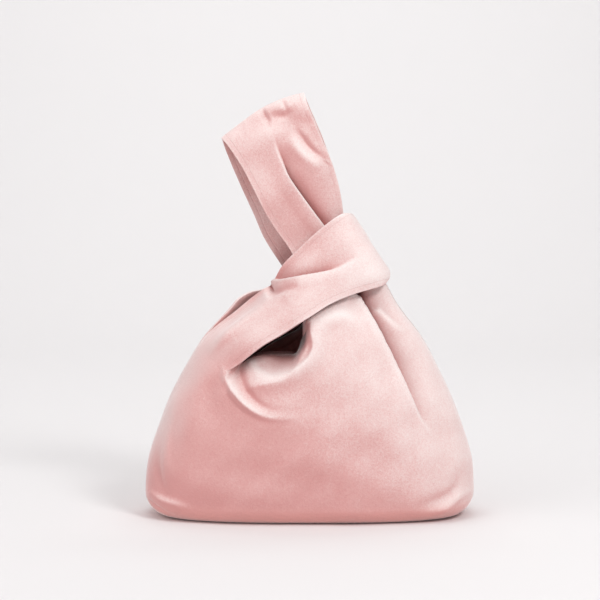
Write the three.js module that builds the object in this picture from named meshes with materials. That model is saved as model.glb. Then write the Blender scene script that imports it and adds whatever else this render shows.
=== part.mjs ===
// A knot bag of thick velvet: a soft hollow pouch with two handles of unequal length.
// The long handle is drawn through the short one, which wraps round it and closes the mouth.
// Millimetres, +Z up, X to the right, the front towards -Y, origin on the floor under the middle.
import * as THREE from "three";

// Pouch
const bagWidth = 260;
const bagDepth = 112;
const shoulderHeight = 188;
const cornerReach = 22;
const cornerDepth = 15;
const cornerRise = 18;
const bottomSeamShare = 0.62;
const seamHoldShare = 0.06;

// Cloth
const wall = 2.4;
const seamGap = 0.3;
const rootGap = 0.6;
const foldHeight = 10;
const foldSpread = 20;
const scoopDepth = 22;
const scoopReach = 26;
const scoopFadeShare = 0.16;

// Knot, where the short handle wraps the long one
const knotAside = 15;
const knotAbove = 13;
const knotLean = THREE.MathUtils.degToRad(32);
const knotClearance = 5;
const wrapWidth = 67;
const wrapBulge = 11;

// Long handle
const handleWidth = 76;
const handleRise = 124.5;
const handleArch = 4.5;
const handleSlant = 4;
const loopDepth = 32;
const loopEdgeCurl = 7;
const knotGather = 8;
const topFoldDepth = 24;
const topFoldShare = 0.8;

const halfWidth = bagWidth / 2;
const halfDepth = bagDepth / 2;
const knotHeight = shoulderHeight + knotAbove;

// Rings of the pouch: height as a share of shoulderHeight, the left and right sides as shares of
// half the width, the depth as a share of half the depth, and how square the ring is.
const POUCH = [
  { height: 0.0, left: 1.0, right: 1.0, depth: 0.97, square: 2.7 },
  { height: 0.14, left: 1.0, right: 1.0, depth: 1.0, square: 2.6 },
  { height: 0.25, left: 0.98, right: 0.985, depth: 1.0, square: 2.5 },
  { height: 0.38, left: 0.918, right: 0.929, depth: 0.98, square: 2.4 },
  { height: 0.51, left: 0.846, right: 0.858, depth: 0.93, square: 2.3 },
  { height: 0.635, left: 0.75, right: 0.77, depth: 0.85, square: 2.2 },
  { height: 0.76, left: 0.64, right: 0.675, depth: 0.74, square: 2.1 },
  { height: 0.89, left: 0.5, right: 0.54, depth: 0.57, square: 2.0 },
  { height: 1.0, left: 0.29, right: 0.46, depth: 0.4, square: 2.0 },
];

// The upper edge of each panel from the left side seam to the right one: across as a share of the
// panel's width of cloth, side as a share of half the bag's width, front and back as heights in
// shares of shoulderHeight. The mouth lies between the two handles' roots.
const TOP_EDGE = [
  { across: 0.0, side: -0.705, front: 0.702, back: 0.702 },
  { across: 0.1, side: -0.625, front: 0.672, back: 0.672 },
  { across: 0.2, side: -0.49, front: 0.632, back: 0.632 },
  { across: 0.3, side: -0.4, front: 0.642, back: 0.65 },
  { across: 0.42, side: -0.25, front: 0.675, back: 0.73 },
  { across: 0.52, side: -0.11, front: 0.705, back: 0.79 },
  { across: 0.6, side: -0.035, front: 0.77, back: 0.83 },
  { across: 0.68, side: 0.03, front: 0.845, back: 0.87 },
  { across: 0.8, side: 0.2, front: 0.915, back: 0.925 },
  { across: 0.9, side: 0.36, front: 0.96, back: 0.96 },
  { across: 1.0, side: 0.48, front: 0.975, back: 0.975 },
];
const shortRoot = 0.2;
const longRoot = 0.6;

// Folds of a panel, each along a curve of three points: x as a share of half the width, h of
// shoulderHeight. rise is a share of foldHeight, wide of foldSpread. A ridge stands up along its
// curve, and a tuck drops away on the right of it. top and end are its strength along the way.
const FRONT = {
  edge: "front",
  ridges: [
    { x0: -0.48, h0: 0.6, x1: -0.45, h1: 0.47, x2: -0.17, h2: 0.43, rise: 0.5, wide: 0.5, top: 1, end: 0.1 },
    { x0: -0.38, h0: 0.58, x1: -0.3, h1: 0.48, x2: -0.17, h2: 0.47, rise: -0.4, wide: 0.5, top: 1, end: 0.1 },
    { x0: -0.4, h0: 0.61, x1: -0.17, h1: 0.52, x2: 0.02, h2: 0.7, rise: 0.6, wide: 0.45, top: 0.4, end: 1 },
    { x0: 0.03, h0: 0.71, x1: 0.07, h1: 0.78, x2: 0.02, h2: 0.85, rise: 0.5, wide: 0.5, top: 0.9, end: 0.6 },
    { x0: -0.86, h0: 0.4, x1: -0.93, h1: 0.24, x2: -0.9, h2: 0.1, rise: -0.35, wide: 0.5, top: 0.2, end: 1 },
    { x0: 0.95, h0: 0.27, x1: 0.9, h1: 0.12, x2: 0.6, h2: 0.1, rise: -0.35, wide: 0.5, top: 1, end: 0.2 },
  ],
  tucks: [
    { x0: 0.36, h0: 0.96, x1: 0.6, h1: 0.75, x2: 0.76, h2: 0.38, rise: 1.0, wide: 0.8, top: 1, end: 0 },
  ],
};
const BACK = {
  edge: "back",
  ridges: [
    { x0: -0.5, h0: 0.6, x1: -0.36, h1: 0.48, x2: -0.3, h2: 0.28, rise: 0.4, wide: 0.6, top: 1, end: 0 },
    { x0: 0.1, h0: 0.8, x1: 0.3, h1: 0.6, x2: 0.35, h2: 0.3, rise: -0.4, wide: 0.7, top: 1, end: 0 },
    { x0: 0.4, h0: 0.93, x1: 0.6, h1: 0.7, x2: 0.72, h2: 0.35, rise: 0.5, wide: 0.6, top: 1, end: 0 },
  ],
  tucks: [],
};

// The short handle from its root on the pouch to where it starts to turn round the long handle.
// at is the share of the way. Each edge bows off its chord by a share of the chord: upper is the
// edge from the side seam, lower the one from the pinch.
const SHORT_BOW = [
  { at: 0.0, upperFront: 0.0, upperBack: 0.0, lowerFront: 0.0, lowerBack: 0.0 },
  { at: 0.13, upperFront: 0.003, upperBack: 0.008, lowerFront: 0.0, lowerBack: 0.0 },
  { at: 0.25, upperFront: 0.004, upperBack: 0.02, lowerFront: 0.01, lowerBack: -0.01 },
  { at: 0.4, upperFront: -0.014, upperBack: 0.008, lowerFront: 0.03, lowerBack: -0.035 },
  { at: 0.55, upperFront: -0.026, upperBack: -0.015, lowerFront: 0.04, lowerBack: -0.045 },
  { at: 0.7, upperFront: -0.002, upperBack: 0.01, lowerFront: 0.035, lowerBack: -0.035 },
  { at: 0.85, upperFront: 0.004, upperBack: 0.01, lowerFront: 0.02, lowerBack: -0.015 },
  { at: 1.0, upperFront: 0.0, upperBack: 0.0, lowerFront: 0.0, lowerBack: 0.0 },
];
// How far the same edges stand off the middle of the bag, as shares of half its depth.
const SHORT_OFF = [
  { at: 0.0, upper: 0.0, lower: 0.7 },
  { at: 0.13, upper: 0.1, lower: 0.76 },
  { at: 0.25, upper: 0.17, lower: 0.8 },
  { at: 0.4, upper: 0.24, lower: 0.81 },
  { at: 0.55, upper: 0.29, lower: 0.78 },
  { at: 0.7, upper: 0.33, lower: 0.68 },
  { at: 0.85, upper: 0.35, lower: 0.55 },
  { at: 1.0, upper: 0.35, lower: 0.42 },
];
const shortCrown = { root: 0.13, turn: 0.04 };
const shortJoin = 0.3;
// Which way the pouch leads on into a handle: turn and height gained, the turn growing to the right.
const shortLead = { turn: 0.35, height: 0.06 };
const longLead = { turn: 0, height: 0.05 };
// The crease along the short handle: along and across as shares of the strap.
const SHORT_CREASE = { from: 0.5, to: 0.95, across: 0.46, rise: 0.5, spread: 0.6 };

// The long handle from the knot up to its top fold: at as a share of handleRise from the knot's
// middle, its edges as shares of handleWidth from the knot's axis, off of half of loopDepth.
const LONG_HANDLE = [
  { at: 0.19, leftFront: -0.25, leftBack: -0.43, right: 0.408, off: 0.7 },
  { at: 0.36, leftFront: -0.27, leftBack: -0.425, right: 0.52, off: 0.8 },
  { at: 0.5, leftFront: -0.265, leftBack: -0.39, right: 0.59, off: 0.92 },
  { at: 0.65, leftFront: -0.24, leftBack: -0.36, right: 0.64, off: 1.0 },
  { at: 0.8, leftFront: -0.22, leftBack: -0.32, right: 0.68, off: 0.9 },
  { at: 0.93, leftFront: -0.23, leftBack: -0.28, right: 0.71, off: 0.75 },
  { at: 1.0, leftFront: -0.25, leftBack: -0.25, right: 0.73, off: 0.7 },
];
// The deep fold down the front of the long handle, in the same shares.
const LONG_CREASE = [
  { at: 0.0, across: 0.16, rise: 0.6 },
  { at: 0.3, across: 0.15, rise: 0.75 },
  { at: 0.55, across: 0.16, rise: 0.7 },
  { at: 0.8, across: 0.2, rise: 0.35 },
  { at: 1.0, across: 0.24, rise: 0.0 },
];
const longCreaseSpread = 0.55;

// How many steps each sheet of cloth is drawn in. A handle's root meets its panel step for step.
const panelSteps = 40;
const steps = {
  front: { across: panelSteps, base: 3, corner: 4, side: 15 },
  back: { across: panelSteps, base: 3, corner: 4, side: 13 },
  short: { across: Math.round(panelSteps * shortRoot), strap: 15, wrap: 8 },
  long: { across: Math.round(panelSteps * (1 - longRoot)), hidden: 6, strap: 12, fold: 5 },
};

const mix = (a, b, t) => a + (b - a) * t;
const clamp01 = (t) => Math.min(1, Math.max(0, t));
const smooth = (t) => clamp01(t) ** 2 * (3 - 2 * clamp01(t));
const power = (value, exponent) => Math.sign(value) * Math.abs(value) ** exponent;

// The value of one column of a table at a place, on a smooth curve through its rows.
function read(table, key, place, column) {
  const last = table.length - 1;
  const slope = (i) => {
    const a = table[Math.max(i - 1, 0)];
    const b = table[Math.min(i + 1, last)];
    return (b[column] - a[column]) / (b[key] - a[key]);
  };
  let i = 0;
  while (i < last - 1 && place > table[i + 1][key]) i++;
  const span = table[i + 1][key] - table[i][key];
  const t = clamp01((place - table[i][key]) / span);
  const a = table[i][column];
  const b = table[i + 1][column];
  const pull = t * (1 - t) * span;
  return mix(a, b, t * t * (3 - 2 * t)) + pull * ((1 - t) * slope(i) - t * slope(i + 1));
}

// A smooth curve from a to b that leaves along outwards and arrives along inwards.
function hermite(a, outwards, b, inwards, t) {
  return a
    .clone()
    .multiplyScalar(1 + t * t * (2 * t - 3))
    .addScaledVector(outwards, t * (1 - t) ** 2)
    .addScaledVector(b, t * t * (3 - 2 * t))
    .addScaledVector(inwards, t * t * (t - 1));
}

// A thin wall over a grid of points on its outer face. pointAt gives the point at a share of the
// way across and along, and rimAt the way out where the cloth meets another piece edge to edge.
// facing is -1 where the grid is a mirror image, and trim keeps the inner face off its neighbour.
function clothWall({ pointAt, across, rows, rimAt = () => null, facing = 1, trim = (point) => point }) {
  const wide = across + 1;
  const outer = [];
  for (const row of rows) {
    for (let i = 0; i <= across; i++) outer.push(pointAt(i / across, row));
  }
  const at = (i, j) => outer[j * wide + i];
  const inner = outer.map((point, index) => {
    const i = index % wide;
    const j = Math.floor(index / wide);
    const overX = at(Math.min(i + 1, across), j).clone().sub(at(Math.max(i - 1, 0), j));
    const overY = at(i, Math.min(j + 1, rows.length - 1)).clone().sub(at(i, Math.max(j - 1, 0)));
    const seamwards = rimAt(i / across, rows[j]);
    const outwards = seamwards ?? overX.cross(overY).normalize().multiplyScalar(facing);
    return trim(point.clone().addScaledVector(outwards, -wall));
  });
  const faces = [];
  const quad = (a, b, c, d) => faces.push(a, b, c, a, c, d);
  const back = outer.length;
  for (let j = 0; j < rows.length - 1; j++) {
    for (let i = 0; i < across; i++) {
      const a = j * wide + i;
      quad(a, a + 1, a + wide + 1, a + wide);
      quad(back + a, back + a + wide, back + a + wide + 1, back + a + 1);
    }
  }
  const top = (rows.length - 1) * wide;
  for (let i = 0; i < across; i++) {
    quad(i, back + i, back + i + 1, i + 1);
    quad(top + i, top + i + 1, back + top + i + 1, back + top + i);
  }
  for (let j = 0; j < rows.length - 1; j++) {
    const left = j * wide;
    const right = left + across;
    quad(left, left + wide, back + left + wide, back + left);
    quad(right, back + right, back + right + wide, right + wide);
  }
  if (facing < 0) faces.reverse();
  const geometry = new THREE.BufferGeometry();
  const points = [...outer, ...inner].flatMap((p) => [p.x, p.y, p.z]);
  geometry.setAttribute("position", new THREE.Float32BufferAttribute(points, 3));
  geometry.setIndex(faces);
  geometry.computeVertexNormals();
  return geometry;
}

// Where a point seen from the front lies beside a fold: along is its share of the way down the
// curve, and away how far it lies from the curve, counted towards +X.
function beside(fold, x, z) {
  const xs = [fold.x0, fold.x1, fold.x2].map((share) => share * halfWidth);
  const zs = [fold.h0, fold.h1, fold.h2].map((share) => share * shoulderHeight);
  const samples = 24;
  let best = { far: Infinity };
  for (let k = 0; k <= samples; k++) {
    const t = k / samples;
    const px = mix(mix(xs[0], xs[1], t), mix(xs[1], xs[2], t), t);
    const pz = mix(mix(zs[0], zs[1], t), mix(zs[1], zs[2], t), t);
    const far = Math.hypot(x - px, z - pz);
    if (far < best.far) {
      const tx = mix(xs[1] - xs[0], xs[2] - xs[1], t);
      const tz = mix(zs[1] - zs[0], zs[2] - zs[1], t);
      const side = Math.sign(tz) * (tz * (x - px) - tx * (z - pz)) < 0 ? -1 : 1;
      best = { far, along: t, away: far * side };
    }
  }
  return best;
}

// How far a fold lifts the cloth at a distance to the right of its line.
function lift(kind, away, rise, spread) {
  if (kind === "ridge") return rise * Math.exp(-((away / spread) ** 2));
  const lip = spread / 4;
  const under = -rise * Math.exp(-Math.max(away, 0) / spread) * smooth(away / lip);
  return under + 0.25 * rise * Math.exp(-(((away + lip) / lip) ** 2));
}

function foldsAt(folds, x, z) {
  const total = (kind, list) =>
    list.reduce((sum, fold) => {
      const { along, away } = beside(fold, x, z);
      const strength = mix(fold.top, fold.end, along);
      return sum + strength * lift(kind, away, fold.rise * foldHeight, fold.wide * foldSpread);
    }, 0);
  return total("ridge", folds.ridges) + total("tuck", folds.tucks);
}

function ring(height) {
  const column = (name) => read(POUCH, "height", height, name);
  const left = -column("left") * halfWidth;
  const right = column("right") * halfWidth;
  return {
    middle: (left + right) / 2,
    half: (right - left) / 2,
    depth: column("depth") * halfDepth,
    square: column("square"),
  };
}

// The turn, 0 at the left seam and 1 at the right, at which a ring reaches a place across the bag.
function turnAt(x, height) {
  const { middle, half, square } = ring(height);
  const share = clamp01(Math.abs((middle - x) / half));
  const angle = Math.acos(share ** (square / 2));
  return (x < middle ? angle : Math.PI - angle) / Math.PI;
}

// A point of the pouch's outer face. inset is how far the rounded foot draws it in, 0 to 1.
function pouchPoint(folds, turn, height, inset = 0) {
  const { middle, half, depth, square } = ring(height);
  const angle = clamp01(turn) * Math.PI;
  const alongX = power(Math.cos(angle), 2 / square);
  const alongY = Math.sin(angle) ** (2 / square);
  const x = middle - (half - inset * cornerReach) * alongX;
  const y = -(depth - inset * cornerDepth) * alongY;
  const z = height * shoulderHeight;
  const offSeam = smooth(Math.min(turn, 1 - turn) / seamHoldShare);
  const raised = foldsAt(folds, x, z) * offSeam * (1 - inset);
  const outX = (-alongX * depth) / Math.hypot(alongX * depth, alongY * half);
  const outY = (-alongY * half) / Math.hypot(alongX * depth, alongY * half);
  return new THREE.Vector3(x + raised * outX, Math.min(y + raised * outY, -seamGap / 2), z);
}

function topEdge(folds, across) {
  const height = read(TOP_EDGE, "across", across, folds.edge);
  const side = read(TOP_EDGE, "across", across, "side");
  const onSeam = across <= 0 || across >= 1;
  return { height, turn: onSeam ? across : turnAt(side * halfWidth, height) };
}

// The scoop beside the pinch, where the slack edge of the mouth falls into the bag.
function scoopAt(across, below) {
  const start = smooth((across - shortRoot) / scoopFadeShare);
  const end = smooth((longRoot - across) / scoopFadeShare);
  return scoopDepth * start * end * (1 - smooth(below / scoopReach));
}

// The rows of a panel: over the flat base from the bottom seam, round the foot, then up the side.
function panelRows({ base, corner, side }) {
  const rows = [];
  for (let k = 0; k < base; k++) rows.push({ base: k / base });
  for (let k = 0; k < corner; k++) rows.push({ corner: k / corner });
  for (let k = 0; k <= side; k++) rows.push({ side: k / side });
  return rows;
}

function panelPoint(folds, across, row) {
  const top = topEdge(folds, across);
  if (row.base !== undefined) {
    const foot = pouchPoint(folds, across, 0, 1);
    const seam = foot.x * bottomSeamShare;
    return new THREE.Vector3(mix(seam, foot.x, row.base), mix(-seamGap / 2, foot.y, row.base), 0);
  }
  const rise = cornerRise / shoulderHeight;
  if (row.corner !== undefined) {
    const angle = (row.corner * Math.PI) / 2;
    return pouchPoint(folds, across, rise * (1 - Math.cos(angle)), 1 - Math.sin(angle));
  }
  const height = mix(rise, top.height, row.side);
  const turn = mix(across, top.turn, smooth(row.side));
  const point = pouchPoint(folds, turn, height);
  point.y += scoopAt(across, (top.height - height) * shoulderHeight);
  return point;
}

function mirrored(point) {
  return new THREE.Vector3(point.x, -point.y, point.z);
}

// The way out of the pouch at a place on its panel's upper edge, which a handle's root shares.
function edgeOutwards(folds, across) {
  const { turn, height } = topEdge(folds, across);
  const step = 0.02;
  const back = Math.max(turn - step, 0);
  const on = Math.min(turn + step, 1);
  const sideways = pouchPoint(folds, on, height).sub(pouchPoint(folds, back, height));
  const upwards = pouchPoint(folds, turn, height).sub(pouchPoint(folds, turn, height - step));
  const outwards = sideways.cross(upwards);
  if (turn <= 0 || turn >= 1) outwards.setY(0);
  return outwards.normalize();
}

function flipped(direction) {
  return direction && mirrored(direction);
}

function rootRim(half, across) {
  return half > 0 ? edgeOutwards(FRONT, across) : mirrored(edgeOutwards(BACK, across));
}

function panelRim(folds, across, row) {
  const isTop = row.side === 1;
  const meetsHandle = across <= shortRoot || across >= longRoot;
  return isTop && meetsHandle ? edgeOutwards(folds, across) : null;
}

// The cloth at a handle's root: a point just above the panel's edge and the way the pouch leads on.
function rootOf(folds, across, lead) {
  const { turn, height } = topEdge(folds, across);
  const edge = height + rootGap / shoulderHeight;
  const point = pouchPoint(folds, turn, edge);
  const onwards = pouchPoint(folds, turn + lead.turn * across, edge + lead.height).sub(point).normalize();
  return { point, onwards };
}

// A point in the knot's plane, along the long handle's axis and across it, from the knot's middle.
function knotPoint(along, across, y) {
  const x = knotAside - along * Math.sin(knotLean) + across * Math.cos(knotLean);
  const z = knotHeight + along * Math.cos(knotLean) + across * Math.sin(knotLean);
  return new THREE.Vector3(x, y, z);
}

const handleRightAtKnot = LONG_HANDLE[0].right * handleWidth;
const wrapAcross = handleRightAtKnot + knotClearance + wall;
const wrapLow = -0.57 * wrapWidth;
const wrapHigh = 0.43 * wrapWidth;

// The short handle before it turns: half is 1 on the front and -1 on the back.
function shortStrap(folds, half, across, at) {
  const bow = (name) => read(SHORT_BOW, "at", at, name);
  const off = (name) => read(SHORT_OFF, "at", at, name) * halfDepth;
  const face = half > 0 ? "Front" : "Back";
  const edge = (rootAcross, along, share) => {
    const root = rootOf(folds, rootAcross, shortLead).point;
    const turnStart = knotPoint(along, wrapAcross - wrapBulge, 0);
    const chord = turnStart.clone().sub(root).setY(0);
    const point = root.addScaledVector(chord, at);
    point.x -= chord.z * share;
    point.z += chord.x * share;
    return point;
  };
  const upper = edge(0, wrapHigh, bow("upper" + face)).setY(-off("upper"));
  const lower = edge(shortRoot, wrapLow, bow("lower" + face)).setY(-off("lower"));
  const over = lower.clone().sub(upper).normalize();
  const outwards = new THREE.Vector3(0, -1, 0).addScaledVector(over, over.y).normalize();
  const { from, to, rise, spread } = SHORT_CREASE;
  const way = (at - from) / (to - from);
  const fade = 2.5;
  const strength = half > 0 ? smooth(fade * way) * smooth(fade * (1 - way)) : 0;
  const away = (SHORT_CREASE.across - across) * wrapWidth;
  const crease = strength * lift("tuck", away, rise * foldHeight, spread * foldSpread);
  const crown = mix(shortCrown.root, shortCrown.turn, at) * wrapWidth * 4 * across * (1 - across);
  return upper.lerp(lower, across).addScaledVector(outwards, crown + crease);
}

function shortHandlePoint(across, row) {
  if (row.turn !== undefined) {
    const start = shortStrap(FRONT, 1, across, 1);
    const bulge = Math.cos(row.turn) * wrapBulge;
    const y = start.y * Math.sin(row.turn);
    return new THREE.Vector3(start.x + bulge * Math.cos(knotLean), y, start.z + bulge * Math.sin(knotLean));
  }
  const folds = row.half > 0 ? FRONT : BACK;
  let point = shortStrap(folds, row.half, across, row.at);
  if (row.at < shortJoin) {
    const { point: root, onwards } = rootOf(folds, across * shortRoot, shortLead);
    const join = shortStrap(folds, row.half, across, shortJoin);
    const step = 0.02;
    const pace = shortStrap(folds, row.half, across, shortJoin + step).sub(join);
    pace.multiplyScalar(shortJoin / step);
    const reach = root.distanceTo(join);
    point = hermite(root, onwards.multiplyScalar(reach), join, pace, row.at / shortJoin);
  }
  return row.half > 0 ? point : mirrored(point);
}

function shortHandleRows({ strap, wrap }) {
  const rows = [];
  for (let k = 0; k < strap; k++) rows.push({ half: 1, at: k / strap });
  for (let k = 0; k <= wrap; k++) rows.push({ turn: Math.PI * (0.5 - k / wrap) });
  for (let k = strap - 1; k >= 0; k--) rows.push({ half: -1, at: k / strap });
  return rows;
}

// The long handle above the knot, with its edges, its arch and the fold down its front.
function longStrap(half, across, at) {
  const column = (name) => read(LONG_HANDLE, "at", at, name);
  const left = column(half > 0 ? "leftFront" : "leftBack") * handleWidth;
  const place = mix(left, column("right") * handleWidth, across);
  const bend = handleArch * 4 * across * (1 - across) - handleSlant * (across - 0.5);
  const arch = bend * smooth((at - 0.6) / 0.4);
  const crease = read(LONG_CREASE, "at", at, "across") * handleWidth;
  const rise = half > 0 ? read(LONG_CREASE, "at", at, "rise") * foldHeight : 0;
  const raised = lift("tuck", place - crease, rise, longCreaseSpread * foldSpread);
  const top = Math.max(0, (at - topFoldShare) / (1 - topFoldShare));
  const closing = (topFoldDepth / 2) * Math.sqrt(Math.max(0, 1 - top * top));
  const curl = loopEdgeCurl * across ** 4 * (1 - smooth(at));
  const off = at > topFoldShare ? closing : (column("off") * loopDepth) / 2 - curl;
  return knotPoint(at * handleRise + arch, place, -off - raised * (1 - top));
}

function longHandlePoint(across, row) {
  const half = row.half;
  const folds = half > 0 ? FRONT : BACK;
  if (row.hidden === undefined) {
    const point = longStrap(half, across, row.at);
    return half > 0 ? point : mirrored(point);
  }
  const first = LONG_HANDLE[0].at;
  const { point: root, onwards } = rootOf(folds, mix(longRoot, 1, across), longLead);
  const exit = longStrap(half, across, first);
  const step = 0.03;
  const pace = longStrap(half, across, first + step).sub(exit).normalize();
  const reach = root.distanceTo(exit);
  const point = hermite(root, onwards.multiplyScalar(reach), exit, pace.multiplyScalar(reach), row.hidden);
  const gather = knotGather * Math.sin(Math.PI * row.hidden) * across ** 3;
  point.x -= gather * Math.cos(knotLean);
  point.z -= gather * Math.sin(knotLean);
  return half > 0 ? point : mirrored(point);
}

function longHandleRows({ hidden, strap, fold }) {
  const first = LONG_HANDLE[0].at;
  const front = [];
  for (let k = 0; k < hidden; k++) front.push({ half: 1, hidden: k / hidden });
  for (let k = 0; k < strap; k++) front.push({ half: 1, at: mix(first, topFoldShare, k / strap) });
  for (let k = 0; k < fold; k++) {
    const angle = (k / fold) * (Math.PI / 2);
    front.push({ half: 1, at: mix(topFoldShare, 1, Math.sin(angle)) });
  }
  const back = front.map((row) => ({ ...row, half: -1 })).reverse();
  return [...front, { half: 1, at: 1 }, ...back];
}

const pouchPink = 0xe3aaa3;
const handlePink = 0xe6b3ac;

function piece(name, geometry, color) {
  const velvet = new THREE.MeshStandardMaterial({ color, roughness: 0.6, metalness: 0 });
  const mesh = new THREE.Mesh(geometry, velvet);
  mesh.name = name;
  return mesh;
}

const frontPanel = clothWall({
  pointAt: (across, row) => panelPoint(FRONT, across, row),
  across: steps.front.across,
  rows: panelRows(steps.front),
  rimAt: (across, row) => panelRim(FRONT, across, row),
  trim: (point) => point.setY(Math.min(point.y, -seamGap / 2)),
});
const backPanel = clothWall({
  pointAt: (across, row) => mirrored(panelPoint(BACK, across, row)),
  across: steps.back.across,
  rows: panelRows(steps.back),
  rimAt: (across, row) => flipped(panelRim(BACK, across, row)),
  facing: -1,
  trim: (point) => point.setY(Math.max(point.y, seamGap / 2)),
});
const shortHandle = clothWall({
  pointAt: shortHandlePoint,
  across: steps.short.across,
  rows: shortHandleRows(steps.short),
  rimAt: (across, row) => (row.at === 0 ? rootRim(row.half, across * shortRoot) : null),
});
const longHandle = clothWall({
  pointAt: longHandlePoint,
  across: steps.long.across,
  rows: longHandleRows(steps.long),
  rimAt: (across, row) => (row.hidden === 0 ? rootRim(row.half, mix(longRoot, 1, across)) : null),
});

const bag = new THREE.Group();
bag.add(
  piece("front_panel", frontPanel, pouchPink),
  piece("back_panel", backPanel, pouchPink),
  piece("short_handle", shortHandle, handlePink),
  piece("long_handle", longHandle, handlePink),
);

export default bag;
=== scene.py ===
# %% [markdown]
# # A velvet knot bag
# The bag is one soft pouch of thick velvet with two handles. The long handle is drawn through the
# short one, which wraps round it and closes the mouth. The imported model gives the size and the
# place of each piece, and every piece made here takes its measures from there.

# %% Load the frame
import math

import bmesh
import bpy
import numpy as np
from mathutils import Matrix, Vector, kdtree


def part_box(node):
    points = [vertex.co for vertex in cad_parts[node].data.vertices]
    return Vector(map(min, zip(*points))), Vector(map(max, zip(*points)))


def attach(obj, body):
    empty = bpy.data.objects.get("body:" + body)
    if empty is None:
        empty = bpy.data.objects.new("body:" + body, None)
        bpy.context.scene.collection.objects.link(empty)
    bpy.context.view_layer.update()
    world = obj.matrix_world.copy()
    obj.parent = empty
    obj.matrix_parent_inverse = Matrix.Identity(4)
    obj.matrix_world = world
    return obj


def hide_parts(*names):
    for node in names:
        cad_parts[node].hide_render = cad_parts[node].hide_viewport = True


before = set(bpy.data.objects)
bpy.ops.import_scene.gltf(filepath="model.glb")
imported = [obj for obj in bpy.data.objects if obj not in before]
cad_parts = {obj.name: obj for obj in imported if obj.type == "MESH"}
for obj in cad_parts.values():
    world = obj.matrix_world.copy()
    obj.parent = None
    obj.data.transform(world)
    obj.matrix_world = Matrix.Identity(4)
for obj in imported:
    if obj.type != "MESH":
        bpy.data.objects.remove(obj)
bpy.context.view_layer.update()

# %% [markdown]
# ## The view
# The camera comes first, so that every later choice can be looked at from where the photograph
# was taken: level with the bag, a little above it and well back, as for a product picture.

# %% Camera
VIEW_DISTANCE = 1.45
VIEW_ELEVATION = math.radians(5)
VIEW_TARGET = Vector((-0.0068, 0, 0.1712))
VIEW_WIDTH = 0.477

camera = bpy.data.objects.new("camera", bpy.data.cameras.new("camera"))
bpy.context.collection.objects.link(camera)
bpy.context.scene.camera = camera
camera.data.lens = camera.data.sensor_width * VIEW_DISTANCE / VIEW_WIDTH
back_way = Vector((0, -math.cos(VIEW_ELEVATION), math.sin(VIEW_ELEVATION)))
camera.location = VIEW_TARGET + back_way * VIEW_DISTANCE
camera.rotation_euler = (math.pi / 2 - VIEW_ELEVATION, 0, 0)
print("the lens is", round(camera.data.lens, 1), "mm")

# %% [markdown]
# ## Floor and light
# The bag stands on a pale, seamless sweep of paper. A small lamp at the upper right gives the folds
# their direction, a broad one on the left opens the shadows, a third brightens what faces up, and
# the last lights the wall behind. The pale surroundings do the rest.

# %% Sweep
SWEEP_WIDTH = 6.0
SWEEP_FRONT = -2.6
SWEEP_BEND = 1.1
SWEEP_RADIUS = 0.9
SWEEP_HEIGHT = 3.2
SWEEP_STEPS = 12
PAPER_COLOUR = (0.8, 0.785, 0.785, 1)


def make_sweep():
    """Matt paper that runs back from the camera and bends up into a wall."""
    bm = bmesh.new()
    left = -SWEEP_WIDTH / 2
    profile = [Vector((left, SWEEP_FRONT, 0)), Vector((left, SWEEP_BEND, 0))]
    for step in range(1, SWEEP_STEPS + 1):
        angle = math.pi / 2 * step / SWEEP_STEPS
        y = SWEEP_BEND + SWEEP_RADIUS * math.sin(angle)
        profile.append(Vector((left, y, SWEEP_RADIUS * (1 - math.cos(angle)))))
    profile.append(Vector((left, profile[-1].y, SWEEP_HEIGHT)))
    corners = [bm.verts.new(p) for p in profile]
    edges = [bm.edges.new(pair) for pair in zip(corners, corners[1:])]
    moved = bmesh.ops.extrude_edge_only(bm, edges=edges)["geom"]
    far = [g for g in moved if isinstance(g, bmesh.types.BMVert)]
    bmesh.ops.translate(bm, verts=far, vec=(SWEEP_WIDTH, 0, 0))
    bmesh.ops.recalc_face_normals(bm, faces=bm.faces)
    mesh = bpy.data.meshes.new("sweep")
    bm.to_mesh(mesh)
    bm.free()
    mesh.shade_smooth()
    sweep = bpy.data.objects.new("sweep", mesh)
    bpy.context.collection.objects.link(sweep)
    paper = bpy.data.materials.new("pale_paper")
    paper.use_nodes = True
    shader = paper.node_tree.nodes["Principled BSDF"]
    shader.inputs["Base Color"].default_value = PAPER_COLOUR
    shader.inputs["Roughness"].default_value = 0.9
    shader.inputs["Specular IOR Level"].default_value = 0.1
    mesh.materials.append(paper)
    return sweep


print("the sweep has", len(make_sweep().data.polygons), "faces")

# %% Lights
LIGHTS = [
    dict(name="key", place=(0.8, -1.0, 1.25), aim=(0, 0, 0.16), size=(0.45, 0.45), power=11.8),
    dict(name="fill", place=(-1.3, -0.9, 0.95), aim=(0, 0, 0.15), size=(1.6, 1.6), power=9.5),
    dict(name="top", place=(-0.1, -0.45, 1.8), aim=(0, 0, 0.16), size=(1.0, 0.8), power=4),
    dict(name="wall", place=(0, 0.7, 1.9), aim=(0, 2.0, 0.55), size=(1.8, 0.6), power=15.5),
]
AROUND_COLOUR, AROUND_STRENGTH = (0.98, 0.97, 0.98, 1), 0.5


def soft_light(name, place, aim, size, power):
    lamp = bpy.data.lights.new(name, "AREA")
    lamp.shape = "RECTANGLE"
    lamp.size, lamp.size_y = size
    lamp.energy = power
    light = bpy.data.objects.new(name, lamp)
    light.location = place
    light.rotation_euler = (Vector(aim) - Vector(place)).to_track_quat("-Z", "Y").to_euler()
    bpy.context.collection.objects.link(light)


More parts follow.
